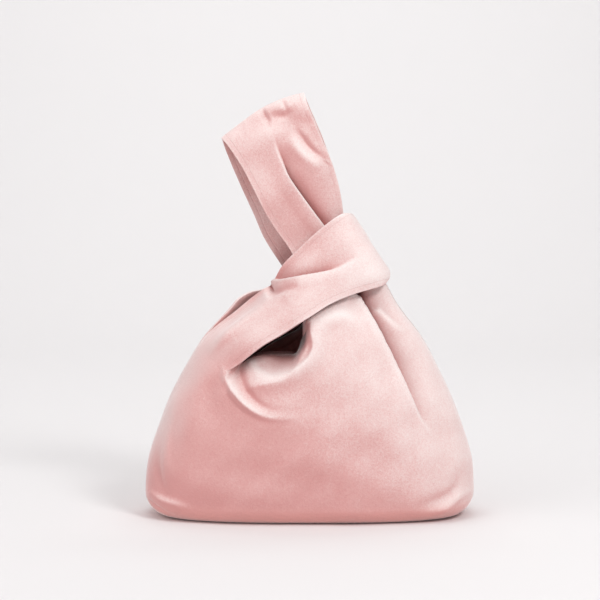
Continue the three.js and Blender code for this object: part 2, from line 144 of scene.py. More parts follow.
for light in LIGHTS:
    soft_light(**light)
world = bpy.context.scene.world or bpy.data.worlds.new("studio")
bpy.context.scene.world = world
world.use_nodes = True
world.node_tree.nodes["Background"].inputs["Color"].default_value = AROUND_COLOUR
world.node_tree.nodes["Background"].inputs["Strength"].default_value = AROUND_STRENGTH
bpy.context.scene.view_settings.view_transform = "Standard"
print("the lamps give", sum(light["power"] for light in LIGHTS), "W")

# %% [markdown]
# ## Measures
# The cloth was cut flat, but its shape on the table is easier to say from outside: rings round
# the pouch, the line of its upper edge, and the way each handle runs. Every table holds shares of
# a few real measures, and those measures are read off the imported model. WALL is the thickness of
# the doubled velvet. The pouch meets the floor in a rounded corner, which rises higher at the sides
# than in the middle. Along a panel's upper edge, from 0 to 1, the short handle grows out of the
# cloth up to SHORT_ROOT, and the long one from LONG_ROOT on. Between them is the mouth.

# %% Driving measures
front_low, front_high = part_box("front_panel")
WALL = 0.0024
HALF_WIDTH = (front_high[0] - front_low[0]) / 2
HALF_DEPTH = -front_low[1]
TOP_SHARE = 0.975
SHOULDER = front_high[2] / TOP_SHARE
CORNER_REACH = 0.022
CORNER_DEPTH = 0.015
CORNER_RISE = dict(side=0.018, middle=0.012)
BOTTOM_SEAM_SHARE = 0.62
SHORT_ROOT = 0.2
LONG_ROOT = 0.6
SCOOP_DEPTH = 0.022
print("shoulder height", round(SHOULDER, 4), "half width", round(HALF_WIDTH, 4))

# %% Rings of the pouch
POUCH = dict(
    height=(0, 0.14, 0.25, 0.38, 0.51, 0.635, 0.76, 0.89, 1),
    left=(1, 1, 0.98, 0.918, 0.846, 0.75, 0.64, 0.5, 0.29),
    right=(1.012, 1.014, 1, 0.944, 0.873, 0.787, 0.69, 0.548, 0.46),
    depth=(0.97, 1, 1, 0.98, 0.93, 0.85, 0.74, 0.57, 0.4),
    square=(2.7, 2.6, 2.5, 2.4, 2.3, 2.2, 2.1, 2, 2),
)
TOP_EDGE = dict(
    across=(0, 0.1, 0.2, 0.3, 0.42, 0.52, 0.6, 0.68, 0.8, 0.9, 1),
    side=(-0.705, -0.625, -0.49, -0.4, -0.25, -0.11, -0.035, 0.03, 0.2, 0.36, 0.48),
    front=(0.702, 0.672, 0.632, 0.642, 0.675, 0.705, 0.77, 0.845, 0.915, 0.96, 0.975),
    back=(0.702, 0.672, 0.632, 0.65, 0.73, 0.79, 0.83, 0.87, 0.925, 0.96, 0.975),
)

# %% [markdown]
# ## Reading a table
# A table names only a few places, and between them the cloth has to run on smoothly. So each column
# is read through a cubic curve whose slope at a row follows the rows beside it. Straight pieces
# would be simpler, but each of their corners would show as a crease in the light.

# %% Smooth curves and steps
def through(keys, values):
    """A smooth curve through pairs of a place and a value."""
    keys, values = np.array(keys, float), np.array(values, float)
    ahead = np.minimum(np.arange(len(keys)) + 1, len(keys) - 1)
    behind = np.maximum(np.arange(len(keys)) - 1, 0)
    slopes = (values[ahead] - values[behind]) / (keys[ahead] - keys[behind])

    def at(place):
        place = np.asarray(place, float)
        i = np.clip(np.searchsorted(keys, place) - 1, 0, len(keys) - 2)
        span = keys[i + 1] - keys[i]
        t = np.clip((place - keys[i]) / span, 0, 1)
        pull = t * (1 - t) * span
        return (
            values[i] + (values[i + 1] - values[i]) * t * t * (3 - 2 * t)
            + pull * ((1 - t) * slopes[i] - t * slopes[i + 1])
        )

    return at


def curves(table):
    """Every further column of a table as a smooth function of its first one."""
    first, *others = table
    return {name: through(table[first], table[name]) for name in others}


def smooth(t):
    t = np.clip(t, 0, 1)
    return t * t * (3 - 2 * t)


def ramp(value, start, end):
    """From 0 to 1, smoothly, while a value goes from start to end."""
    return smooth((value - start) / (end - start))


def mix(a, b, t):
    return a + (b - a) * t


def unit(vectors):
    return vectors / np.maximum(np.linalg.norm(vectors, axis=-1, keepdims=True), 1e-12)


# %% [markdown]
# ## The plain pouch
# Seen from above, a soft pouch is neither an ellipse nor a box. A superellipse goes from one to the
# other with a single number, so each ring has its half widths, its half depth and that squareness.
# Only the front half is worked out. The back is its mirror image with an upper edge of its own.

# %% Rings and the upper edge
ring_curve, edge_curve = curves(POUCH), curves(TOP_EDGE)
EDGE_STEP = 0.01


def ring(height):
    """The middle, the half width, the half depth and the squareness at a share of the height."""
    left, right = -ring_curve["left"](height) * HALF_WIDTH, ring_curve["right"](height) * HALF_WIDTH
    depth = ring_curve["depth"](height) * HALF_DEPTH
    return (left + right) / 2, (right - left) / 2, depth, ring_curve["square"](height)


def pouch_point(turn, height, inset=0.0):
    """A point of the pouch. turn goes from 0 at the left seam to 1 at the right one."""
    middle, half, depth, square = ring(height)
    angle = np.clip(turn, 0, 1) * np.pi
    cosine = np.cos(angle)
    along_x = np.sign(cosine) * np.abs(cosine) ** (2 / square)
    along_y = np.abs(np.sin(angle)) ** (2 / square)
    x = middle - (half - inset * CORNER_REACH) * along_x
    y = -(depth - inset * CORNER_DEPTH) * along_y
    return np.stack(np.broadcast_arrays(x, y, height * SHOULDER), axis=-1)


def turn_at(x, height):
    """The turn at which a ring reaches a place from left to right."""
    middle, half, _, square = ring(height)
    share = np.clip(np.abs((middle - x) / half), 0, 1)
    angle = np.arccos(share ** (square / 2))
    return np.where(x < middle, angle, np.pi - angle) / np.pi


def top_edge(face, across):
    """The turn and the height of a panel's upper edge."""
    height = edge_curve[face](across)
    turn = turn_at(edge_curve["side"](across) * HALF_WIDTH, height)
    turn = np.where(across <= 0, 0.0, np.where(across >= 1, 1.0, turn))
    return turn, height


def edge_outwards(face, across):
    """The way out of the pouch along a panel's upper edge, which a handle's root shares."""
    turn, height = top_edge(face, across)
    after = pouch_point(np.minimum(turn + EDGE_STEP, 1), height)
    before = pouch_point(np.maximum(turn - EDGE_STEP, 0), height)
    upwards = pouch_point(turn, height) - pouch_point(turn, height - EDGE_STEP)
    outwards = np.cross(after - before, upwards)
    outwards[..., 1] = np.where((across <= 0) | (across >= 1), 0, outwards[..., 1])
    return unit(outwards)


def outwards_of(points):
    """The way out of a sheet of points at each of them."""
    return unit(np.cross(np.gradient(points, axis=1), np.gradient(points, axis=0)))


# %% [markdown]
# ## The knot and the handles
# A handle is a ribbon. Its two long edges are set by tables, and the cloth between them crowns or
# creases a little. The short handle starts as part of the pouch, lifts off it, turns round the
# long handle and comes back on the other side. The long handle starts at the right shoulder,
# gathers inside the knot, and stands up as a loop with a flattened fold on top. A bow says how far
# an edge stands off the straight line to the knot, and an off how far it stands out from the middle
# of the bag, both as shares. The wrap sags by WRAP_SLUMP, and hangs lower at the back.

# %% Measures of the knot
KNOT_ASIDE = 0.015
KNOT_HEIGHT = SHOULDER + 0.013
KNOT_LEAN = math.radians(32)
KNOT_CLEARANCE = 0.005
KNOT_GATHER = 0.008
WRAP_WIDTH = 0.067
WRAP_BULGE = 0.011
WRAP_SLUMP = 0.002
BACK_DROP = 0.004
HANDLE_WIDTH = 0.076
HANDLE_RISE = 0.1265
HANDLE_ARCH = 0.0045
HANDLE_SLANT = 0.004
LOOP_DEPTH = 0.032
LOOP_EDGE_CURL = 0.007
FRONT_INSET = 0.0014
TOP_FOLD_DEPTH = 0.024
TOP_FOLD_SHARE = 0.8
SHORT_CROWN = dict(root=0.13, turn=0.04)
EDGE_FLAT = 0.65
SHORT_JOIN = 0.3
SHORT_LEAD = dict(turn=0.35, height=0.06)
LONG_LEAD = dict(turn=0.0, height=0.05)
SHORT_STEP, LONG_STEP = 0.02, 0.03
EDGE_REACH = dict(strap=0.16, root=0.2)
WRAP_ROUNDING = dict(low=(0.14, 0.007), high=(0.08, 0.004))

# %% Edges of the two ribbons
UPPER_BOW = dict(
    front=through((0, 0.13, 0.19, 0.28, 0.36, 0.45, 0.505, 0.54, 0.62, 0.69, 0.86, 1),
                  (0, 0, 0.008, 0.003, -0.004, -0.014, -0.021, -0.008, 0.008, 0.012, 0.01, 0)),
    back=through((0, 0.12, 0.19, 0.26, 0.33, 0.405, 0.46, 0.55, 0.7, 0.85, 1),
                 (0, 0.012, 0.022, 0.035, 0.046, 0.028, -0.006, -0.03, -0.01, 0, 0)),
)
STRAP_WAY = (0, 0.13, 0.25, 0.4, 0.55, 0.7, 0.85, 1)
LOWER_BOW = dict(
    front=through(STRAP_WAY, (0, 0.016, 0.04, 0.05, 0.058, 0.066, 0.046, 0.008)),
    back=through(STRAP_WAY, (0, 0, -0.01, -0.035, -0.045, -0.035, -0.015, 0)),
)
UPPER_WAY = (0, 0.13, 0.25, 0.4, 0.55, 0.7, 1)
UPPER_OFF = dict(
    front=through(UPPER_WAY, (0, 0.08, 0.1, 0.13, 0.26, 0.33, 0.35)),
    back=through(UPPER_WAY, (0, 0, 0, 0.06, 0.26, 0.33, 0.35)),
)
LOWER_OFF = through(STRAP_WAY, (0.7, 0.76, 0.8, 0.81, 0.78, 0.68, 0.55, 0.42))
LONG_EDGES = dict(
    at=(0.19, 0.36, 0.5, 0.65, 0.8, 0.93, 1),
    left_front=(-0.25, -0.27, -0.265, -0.24, -0.22, -0.23, -0.25),
    left_back=(-0.43, -0.425, -0.39, -0.36, -0.32, -0.28, -0.25),
    right=(0.408, 0.52, 0.59, 0.64, 0.68, 0.71, 0.73),
    off=(0.7, 0.8, 0.92, 1, 0.9, 0.75, 0.7),
)
LONG_FIRST = LONG_EDGES["at"][0]
WRAP_ACROSS = LONG_EDGES["right"][0] * HANDLE_WIDTH + KNOT_CLEARANCE + WALL
WRAP_LOW, WRAP_HIGH = -0.57 * WRAP_WIDTH, 0.43 * WRAP_WIDTH
WRAP_TOP = dict(front=WRAP_HIGH, back=WRAP_HIGH - BACK_DROP)
long_edge = curves(LONG_EDGES)
print("the wrap stands", round(WRAP_ACROSS * 1000, 1), "mm right of the knot's middle")

# %% [markdown]
# ## Ribbons
# The hanging part of the short handle is a straight line from its root to the knot, bowed by the
# tables. Near the root a Hermite curve takes over: it leaves along the pouch and arrives with the
# strap's own pace, so the cloth turns into the handle without a crease. The hidden part of the long
# handle, between the right shoulder and the knot, is such a curve as well. A ribbon of straight
# rows would be easier, but it would twist like a strip of card.

# %% Curves and places for a ribbon
def hermite(start, leave, end, arrive, t):
    """From one point to another, leaving and arriving along given ways."""
    t = t[..., None]
    return (
        start * (1 + t * t * (2 * t - 3)) + leave * (t * (1 - t) ** 2)
        + end * (t * t * (3 - 2 * t)) + arrive * (t * t * (t - 1))
    )


def root_of(face, across, lead):
    """Where a handle leaves the pouch, and the way the pouch leads on into it."""
    turn, height = top_edge(face, across)
    point = pouch_point(turn, height)
    onwards = pouch_point(turn + lead["turn"] * across, height + lead["height"]) - point
    return point, unit(onwards)


def knot_point(along, across, y):
    """A point by its place in the leaning plane of the knot: up the long handle, and across it."""
    x = KNOT_ASIDE - along * math.sin(KNOT_LEAN) + across * math.cos(KNOT_LEAN)
    z = KNOT_HEIGHT + along * math.cos(KNOT_LEAN) + across * math.sin(KNOT_LEAN)
    return np.stack(np.broadcast_arrays(x, y, z), axis=-1)


# %% The short handle's strap
def short_edge(face, at, root_across, along, bow, off):
    """One long edge of the short handle, from the pouch to the knot."""
    root = root_of(face, np.full_like(at, root_across), SHORT_LEAD)[0]
    chord = knot_point(along, WRAP_ACROSS - WRAP_BULGE, 0.0) - root
    point = root + chord * at[..., None]
    point[..., 0] -= chord[..., 2] * bow
    point[..., 2] += chord[..., 0] * bow
    point[..., 1] = -off * HALF_DEPTH
    return point


def short_strap(face, across, at):
    """The short handle where it hangs free: between its two edges, crowned, flatter above."""
    upper = short_edge(face, at, 0.0, WRAP_TOP[face], UPPER_BOW[face](at), UPPER_OFF[face](at))
    lower = short_edge(face, at, SHORT_ROOT, WRAP_LOW, LOWER_BOW[face](at), LOWER_OFF(at))
    over = unit(lower - upper)
    outwards = np.array([0.0, -1.0, 0.0]) + over * over[..., 1:2]
    opening = across - EDGE_FLAT * across * np.exp(-((across / EDGE_REACH["strap"]) ** 2))
    crown = mix(SHORT_CROWN["root"], SHORT_CROWN["turn"], at) * WRAP_WIDTH * 4 * opening * (1 - opening)
    point = mix(upper, lower, across[..., None])
    point[..., 1] = mix(upper[..., 1], lower[..., 1], opening)
    return point + unit(outwards) * crown[..., None]


def short_half(face, across, at):
    """One half of the short handle, with the way it grows out of the pouch."""
    point = short_strap(face, across, at)
    root, onwards = root_of(face, across * SHORT_ROOT, SHORT_LEAD)
    join_at = np.full_like(at, SHORT_JOIN)
    join = short_strap(face, across, join_at)
    pace = (short_strap(face, across, join_at + SHORT_STEP) - join) * (SHORT_JOIN / SHORT_STEP)
    reach = np.linalg.norm(root - join, axis=-1, keepdims=True)
    rising = hermite(root, onwards * reach, join, pace, np.clip(at / SHORT_JOIN, 0, 1))
    flat = EDGE_FLAT * np.exp(-((across / EDGE_REACH["root"]) ** 2))
    flat = flat * ramp(at, 0.04, 0.18) * (1 - ramp(at, 0.2, 0.3))
    rising[..., 1] = mix(rising[..., 1], rising[0, 1], flat)
    return np.where(at[..., None] < SHORT_JOIN, rising, point)


print("the strap comes to the knot at", short_strap("front", np.array([0.5]), np.ones(1)).round(4)[0])

# %% Its turn round the long handle
def rounding(from_edge, share, depth):
    """How far the cloth rounds in over a share of its width beside an edge."""
    near = np.clip(1 - from_edge / share, 0, 1)
    return depth * (1 - np.sqrt(1 - near * near))


def short_wrap(across, turn):
    """A row of the turn round the long handle, from pi / 2 in front to -pi / 2 behind."""
    last = np.ones_like(across)
    front, back = (short_strap(face, across, last) for face in ("front", "back"))
    start = mix(front, back, (1 - math.sin(turn)) / 2)
    rounded = rounding(1 - across, *WRAP_ROUNDING["low"]) + rounding(across, *WRAP_ROUNDING["high"])
    bulge = np.cos(turn) * (WRAP_BULGE - rounded)
    slump = WRAP_SLUMP * (1 - smooth(across / 0.3)) * np.cos(turn)
    x = start[..., 0] + bulge * math.cos(KNOT_LEAN) + slump * math.sin(KNOT_LEAN)
    z = start[..., 2] + bulge * math.sin(KNOT_LEAN) - slump * math.cos(KNOT_LEAN)
    return np.stack([x, start[..., 1] * np.sin(turn), z], axis=-1)


print("the turn reaches out to", short_wrap(np.array([0.5]), 0.0).round(4)[0])

# %% The long handle's strap
def long_strap(face, across, at):
    """The standing part of the long handle, up to the middle of its top fold."""
    left = long_edge["left_" + face](at) * HANDLE_WIDTH
    right = long_edge["right"](at) * HANDLE_WIDTH
    if face == "front":
        right = right - FRONT_INSET * ramp(at, 0.45, 0.7) * (1 - ramp(at, 0.9, 1))
    place = mix(left, right, across)
    bend = HANDLE_ARCH * 4 * across * (1 - across) - HANDLE_SLANT * (across - 0.5)
    top = np.maximum(0, (at - TOP_FOLD_SHARE) / (1 - TOP_FOLD_SHARE))
    closing = TOP_FOLD_DEPTH / 2 * np.sqrt(np.maximum(0, 1 - top * top))
    curl = LOOP_EDGE_CURL * across ** 4 * (1 - smooth(at))
    off = mix(long_edge["off"](at) * LOOP_DEPTH / 2 - curl, TOP_FOLD_DEPTH / 2, ramp(at, 0.5, TOP_FOLD_SHARE))
    off = np.where(at > TOP_FOLD_SHARE, closing, off)
    return knot_point(at * HANDLE_RISE + bend * ramp(at, 0.6, 1), place, -off)


def long_hidden(face, across, way):
    """The long handle from the right shoulder to the knot, gathered as it goes in."""
    root, onwards = root_of(face, mix(LONG_ROOT, 1, across), LONG_LEAD)
    first = np.full_like(across, LONG_FIRST)
    leaving = long_strap(face, across, first)
    pace = unit(long_strap(face, across, first + LONG_STEP) - leaving)
    reach = np.linalg.norm(root - leaving, axis=-1, keepdims=True)
    point = hermite(root, onwards * reach, leaving, pace * reach, way)
    gather = KNOT_GATHER * np.sin(np.pi * way) * across ** 3
    point[..., 0] -= gather * math.cos(KNOT_LEAN)
    point[..., 2] -= gather * math.sin(KNOT_LEAN)
    return point


def mirrored(points):
    return points * np.array([1.0, -1.0, 1.0])


print("the loop's top is at", long_strap("front", np.array([0.5]), np.ones(1)).round(4)[0])

# %% [markdown]
# ## Folds
# A fold is a line drawn on the bag as it is seen from the front, in millimetres, with a profile
# across it. A ridge stands up or, with a negative rise, sinks. A tuck is a pleat lying over to the
# right of its line: its lip stands up by a share of the rise and hangs over the cloth beside it, so
# points near the lip also move sideways. wide is how far the profile reaches to the left and to the
# right, and strength how much of it is there along the line. shade is painted into the velvet's
# colour: above 0 it paints shade into the hollow, and below 0 it paints a pale highlight along the
# crest. Another way would be to sculpt by hand, but lines can be read off, moved and measured.

# %% Two kinds of fold
def ridge(rise, wide, strength, line, shade=0.0):
    return dict(kind="ridge", rise=rise, wide=wide, strength=strength, line=line, shade=shade)


def tuck(rise, wide, strength, line, shade=0.7, lip=0.16):
    return dict(kind="tuck", rise=rise, wide=wide, strength=strength, line=line, shade=shade, lip=lip)


# %% Fold lines of the pouch
# shade paints shade into a fold's hollow when above 0, and a highlight on its crest when below 0.
FRONT_FOLDS = [
    ridge(rise=3.5, wide=(6, 2.6), strength=(0.25, 0.9, 1, 0.8, 0.4, 0.1, 0), shade=-0.6,
          line=((-66, 116), (-61, 107), (-52.5, 97), (-41.5, 89), (-30, 85), (-16, 84.5), (0, 86))),
    ridge(rise=-3.2, wide=(3.5, 4.5), strength=(0.8, 1, 0.7, 0.3, 0.1, 0), shade=0.12,
          line=((-57, 115), (-50, 106), (-41, 96), (-30, 90.5), (-14, 90), (0, 92))),
    ridge(rise=3.8, wide=(2.6, 9), strength=(0.1, 0.7, 1, 1, 1, 1, 1, 0.8, 0.4), shade=-0.35,
          line=((-52, 121), (-45, 117), (-37, 114.5), (-27, 114.5), (-16, 118), (-6, 124), (1.5, 132),
                (3.5, 141), (0, 154))),
    ridge(rise=3.5, wide=(8, 8), strength=(0.5, 1, 1, 0.4), shade=-0.4,
          line=((5, 148), (13, 158), (25, 162), (38, 158))),
    ridge(rise=-1.3, wide=(9, 8), strength=(0.2, 1, 0.8, 0), shade=0.16,
          line=((-72, 119), (-75, 106), (-76, 92), (-74, 76))),
    tuck(rise=9, wide=(2.6, 14), strength=(0, 0.2, 0.42, 0.58, 0.7, 0.85, 1), lip=0.07, shade=1,
         line=((97, 68), (86.5, 82), (78, 100), (71, 115), (62.5, 132), (51, 152), (37, 176))),
    ridge(rise=3, wide=(3, 4), strength=(1, 0.8, 0), shade=-0.35,
          line=((56, 165), (66, 155), (77, 147))),
    ridge(rise=-1.5, wide=(3.5, 4.5), strength=(0, 0.8, 1, 0.3), shade=0.22,
          line=((-114, 68), (-118, 50), (-118, 36), (-113, 23))),
    ridge(rise=0.8, wide=(4, 6), strength=(0, 1, 1, 0), shade=-0.2,
          line=((-103, 90), (-110, 68), (-111, 48), (-104, 32))),
    ridge(rise=2.2, wide=(3, 4), strength=(0.5, 1, 0.8, 0), shade=-0.5,
          line=((-124, 20), (-116, 17), (-105, 15), (-90, 12))),
    ridge(rise=-1.6, wide=(1.6, 1.6), strength=(1, 1, 1, 0),
          line=((-126, 13), (-117, 9), (-108, 5.5), (-96, 2))),
    ridge(rise=-1.6, wide=(4.5, 4.5), strength=(0.3, 1, 1, 0.2), shade=0.14,
          line=((120, 42), (115, 27), (104, 20), (88, 16))),
    ridge(rise=1.8, wide=(4, 4), strength=(0.3, 1, 1, 0.2),
          line=((127, 22), (116, 18), (104, 9.5), (86, 4))),
    ridge(rise=-2, wide=(2.2, 2.2), strength=(1, 1, 0.3),
          line=((42, 187), (40, 180), (33, 172))),
    ridge(rise=-1.6, wide=(2, 2), strength=(1, 1, 0.2),
          line=((43, 187), (34, 183), (24, 180))),
]
BACK_FOLDS = [
    ridge(rise=4, wide=(9, 12), strength=(1, 0.9, 0.6, 0),
          line=((-66, 116), (-54, 98), (-44, 76), (-38, 50))),
    ridge(rise=-3, wide=(7, 9), strength=(1, 0.8, 0),
          line=((-54, 112), (-40, 92), (-22, 78))),
    tuck(rise=5, wide=(4, 14), strength=(0, 0.4, 0.8, 1),
         line=((92, 60), (84, 96), (70, 132), (50, 172))),
    ridge(rise=-4, wide=(12, 12), strength=(1, 0.8, 0.5, 0),
          line=((12, 156), (30, 126), (42, 92), (46, 56))),
]
FOLDS = dict(front=FRONT_FOLDS, back=BACK_FOLDS)
print("folds of the pouch:", {face: len(folds) for face, folds in FOLDS.items()})

# %% [markdown]
# ## Lifting the cloth along a fold
# Each point asks for the nearest place on a fold's line: how far along it lies, and how far to the
# right. The profile at that distance lifts it along the way out of the cloth. The same distances
# set the shade painted on each point, so the painted dark of a pleat always lies where its hollow is.

# %% Points beside a line
MM = 1000
PLEAT_POWER, LIP_OVERHANG, LIP_REACH = 1.6, 0.45, 2.2


def beside(line, x, z):
    """For each point: the share of the way along a line, how far it lies to the right, and that way."""
    corners = np.array(line) / MM
    knots = np.linspace(0, 1, len(corners))
    fine = np.linspace(0, 1, 8 * len(corners))
    curve_x, curve_z = through(knots, corners[:, 0])(fine), through(knots, corners[:, 1])(fine)
    nearest = np.full(x.shape, np.inf)
    along, away = np.zeros(x.shape), np.zeros(x.shape)
    over_x, over_z = np.ones(x.shape), np.zeros(x.shape)
    for k in range(len(fine) - 1):
        step_x, step_z = curve_x[k + 1] - curve_x[k], curve_z[k + 1] - curve_z[k]
        length = math.hypot(step_x, step_z)
        on = np.clip(((x - curve_x[k]) * step_x + (z - curve_z[k]) * step_z) / length ** 2, 0, 1)
        gap_x, gap_z = x - curve_x[k] - on * step_x, z - curve_z[k] - on * step_z
        far = np.hypot(gap_x, gap_z)
        near = far < nearest
        right_x, right_z = step_z / length, -step_x / length
        side = np.where(gap_x * right_x + gap_z * right_z < 0, -1.0, 1.0)
        nearest = np.where(near, far, nearest)
        along = np.where(near, (k + on) / (len(fine) - 1), along)
        away = np.where(near, far * side, away)
        over_x, over_z = np.where(near, right_x, over_x), np.where(near, right_z, over_z)
    return along, away, np.stack([over_x, np.zeros_like(over_x), over_z], axis=-1)


def measured(fold, points, strength):
    """A fold's weight at each point, the point's distance to its right, and the way to the right."""
    along, away, over = beside(fold["line"], points[..., 0], points[..., 2])
    weight = through(np.linspace(0, 1, len(fold["strength"])), fold["strength"])(along) * strength
    return weight, away, over


# %% Profiles across a fold
def hump(away, left, right):
    """A soft crest on the line itself, as wide as is said on each side."""
    return np.exp(-((away / np.where(away < 0, left, right)) ** 2))


def hollow(away, left, right):
    """The cloth under a pleat: deepest beside the lip, and running out to the right."""
    return np.exp(-((np.maximum(away, 0) / right) ** PLEAT_POWER)) * smooth(away / left)


def folded(points, outwards, folds, strength):
    """Points moved by every fold of a list, along the way out and, for pleats, over the cloth beside."""
    moved = points.copy()
    for fold in folds:
        weight, away, over = measured(fold, points, strength)
        rise = fold["rise"] / MM * weight
        left, right = (side / MM for side in fold["wide"])
        if fold["kind"] == "ridge":
            moved += outwards * (rise * hump(away, left, right))[..., None]
            continue
        lift = fold["lip"] * rise * hump(away, LIP_REACH * left, left) - rise * hollow(away, left, right)
        aside = LIP_OVERHANG * rise * hump(away, left, left)
        over = unit(over - outwards * np.sum(over * outwards, axis=-1, keepdims=True))
        moved += outwards * lift[..., None] + over * aside[..., None]
    return moved


def painted_shade_of(points, folds, strength):
    """Painted shade at each point, up to 1 deep in a pleat or a groove, and below 0 a painted highlight on a
    crest.
    """
    depth, streaked = np.zeros(points.shape[:-1]), np.zeros(points.shape[:-1])
    for fold in folds:
        if not fold["shade"]:
            continue
        weight, away, _ = measured(fold, points, strength)
        profile = hollow if fold["kind"] == "tuck" else hump
        under = fold["shade"] * weight * profile(away, *(side / MM for side in fold["wide"]))
        # under is painted shade where it is above 0, and a painted highlight where it is below 0.
        depth, streaked = np.maximum(depth, under), np.minimum(streaked, under)
    return depth + streaked


# %% [markdown]
# ## The small unevenness of soft cloth
# No cloth on a soft filling is as smooth as a table makes it. A few slow waves cross the whole bag,
# the longest of them half a millimetre high. Their phase is bent, so that no straight crest shows,
# and they are summed here and not made by a noise modifier, because the seams have to hold still.

# %% Waves
WAVES = [
    dict(length=0.062, way=(0.8, 0.3, 0.5), phase=0.4, height=0.0005),
    dict(length=0.047, way=(-0.5, 0.6, 0.62), phase=2.1, height=0.0004),
    dict(length=0.034, way=(0.3, -0.2, 0.93), phase=4.0, height=0.00025),
    dict(length=0.027, way=(0.9, 0.4, -0.2), phase=1.2, height=0.0002),
    dict(length=0.019, way=(-0.6, 0.3, 0.74), phase=5.1, height=0.0001),
]


def uneven(points):
    """How far the waves lift each point."""
    bend = 0.9 * np.sin(points @ np.array([31.0, 17.0, -23.0]))
    bend = bend + 0.7 * np.sin(points @ np.array([-19.0, 29.0, 37.0]))
    total = np.zeros(points.shape[:-1])
    for wave in WAVES:
        way = np.array(wave["way"]) / np.linalg.norm(wave["way"])
        turns = points @ way * (2 * math.pi / wave["length"])
        total += wave["height"] * np.sin(turns + wave["phase"] + bend)
    return total


# %% [markdown]
# ## The cloth of each piece
# Each half of the pouch starts as a flat grid of cloth, as it would lie on the cutting table. Its
# points are then carried to where they lie on the bag: over the base from the bottom seam, round
# the foot and up the side. At the middle of the mouth slack cloth rolls inwards, and its rim rises
# and curls. Folds and waves die out at the seams and at the floor, so that both halves still meet
# and the base stays flat. The back is worked out as a second front and mirrored at the end.

# %% Measures of a panel
PANEL_ACROSS = 260
PANEL_BASE, PANEL_CORNER, PANEL_SIDE = 10, 12, 132
SEAM_HOLD = 0.05
FLOOR_HOLD = (0.0015, 0.0115)
MOUTH_CURL, CURL_REACH = 0.004, 0.007
ROLL_START, ROLL_END, ROLL_LAST = 0.14, 0.12, 0.67
CURL_START, CURL_FULL = SHORT_ROOT + 0.06, SHORT_ROOT + 0.12
# DARK_FULL and DARK_LAST bound the near-black shade painted down the rim of the mouth.
DARK_FULL, DARK_LAST = SHORT_ROOT + 0.13, LONG_ROOT + 0.05
mouth_rise = dict(
    front=through((0.2, 0.27, 0.38, 0.5, 0.565, 0.6), (0, 0.005, 0.0105, 0.006, -0.001, 0)),
    back=through((0.2, 0.27, 0.38, 0.5, 0.6), (0, 0.002, 0.003, 0.003, 0)))
mouth_reach = through((0.2, 0.3, 0.5, 0.6, 0.67), (0.016, 0.018, 0.018, 0.014, 0.012))
mouth_shade = through((0.28, 0.38, 0.48, 0.55), (0.004, 0.007, 0.017, 0.019))


def seam_hold(across):
    """0 at both side seams, and 1 over the rest of the cloth."""
    return smooth(np.minimum(across, 1 - across) / SEAM_HOLD)


def mouth_roll(across):
    """How far slack cloth rolls into the bag along the upper edge, from the pinch to the long handle."""
    start = smooth((across - SHORT_ROOT) / ROLL_START)
    return SCOOP_DEPTH * start * smooth((ROLL_LAST - across) / ROLL_END)


# %% Rows of a panel
def plain_panel(face, across):
    """A panel without folds, from the bottom seam over the base and round the foot to the mouth."""
    middle = smooth(np.minimum(across, 1 - across) / 0.2)
    rise = mix(CORNER_RISE["side"], CORNER_RISE["middle"], middle) / SHOULDER
    top_turn, top_height = top_edge(face, across)
    foot = pouch_point(across, np.zeros_like(across), 1.0)
    seam = foot[:, 0] * BOTTOM_SEAM_SHARE
    rows = []
    for way in np.arange(PANEL_BASE) / PANEL_BASE:
        rows.append(np.stack([mix(seam, foot[:, 0], way), foot[:, 1] * way, 0 * seam], axis=-1))
    for angle in np.arange(PANEL_CORNER) / PANEL_CORNER * math.pi / 2:
        rows.append(pouch_point(across, rise * (1 - math.cos(angle)), 1 - math.sin(angle)))
    for way in np.arange(PANEL_SIDE + 1) / PANEL_SIDE:
        rows.append(pouch_point(mix(across, top_turn, smooth(way)), mix(rise, top_height, way)))
    return np.stack(rows)


def roll_mouth(face, across, points, below):
    """Rolls the slack cloth of the mouth inwards, and raises, lowers and curls its rim."""
    reach = mouth_reach(across)
    points[..., 1] += mouth_roll(across) * (1 - smooth(below / reach))
    free = (across > SHORT_ROOT) * (across < LONG_ROOT)
    points[..., 2] += mouth_rise[face](across) * free * smooth(1 - below / reach)
    curled = ramp(across, CURL_START, CURL_FULL) * smooth((LONG_ROOT - across) / 0.05)
    points[..., 2] -= MOUTH_CURL * curled * (1 - smooth(below / CURL_REACH))
    points[..., 1] = np.minimum(points[..., 1], 0)


def panel_points(face):
    """A finished panel, and the shade painted on its points in pleats, in grooves and in the mouth."""
    across = np.linspace(0, 1, PANEL_ACROSS + 1)
    points = plain_panel(face, across)
    below = top_edge(face, across)[1] * SHOULDER - points[..., 2]
    hold = seam_hold(across) * ramp(points[..., 2], *FLOOR_HOLD)
    outwards = outwards_of(points)
    outwards[-1] = edge_outwards(face, across)
    painted_shade = painted_shade_of(points, FOLDS[face], hold)
    points = folded(points, outwards, FOLDS[face], hold)
    points += outwards * (uneven(points) * hold)[..., None]
    roll_mouth(face, across, points, below)
    # Near-black painted shade down the rim of the mouth, where the cloth rolls into the bag.
    inside = ramp(across, CURL_START, DARK_FULL) * smooth((DARK_LAST - across) / 0.04)
    return points, mix(painted_shade, 1, inside * smooth(1 - below / mouth_shade(across)))


panels, painted_shades = {}, {}
for face in ("front", "back"):
    panels[face], painted_shades[face] = panel_points(face)
panels["back"], painted_shades["back"] = mirrored(panels["back"])[:, ::-1], painted_shades["back"][:, ::-1]
for face, points in panels.items():
    print(face, "panel grid", points.shape[:2])


# %% [markdown]
# ## Folds of the handles
# The pouch's folds run on a little way into the handles and die out. The handles have folds of
# their own: the crease where the short one is drawn tight round the knot, the pleat down the front
# of the loop, and the small puckers where the loop is folded over at its top.

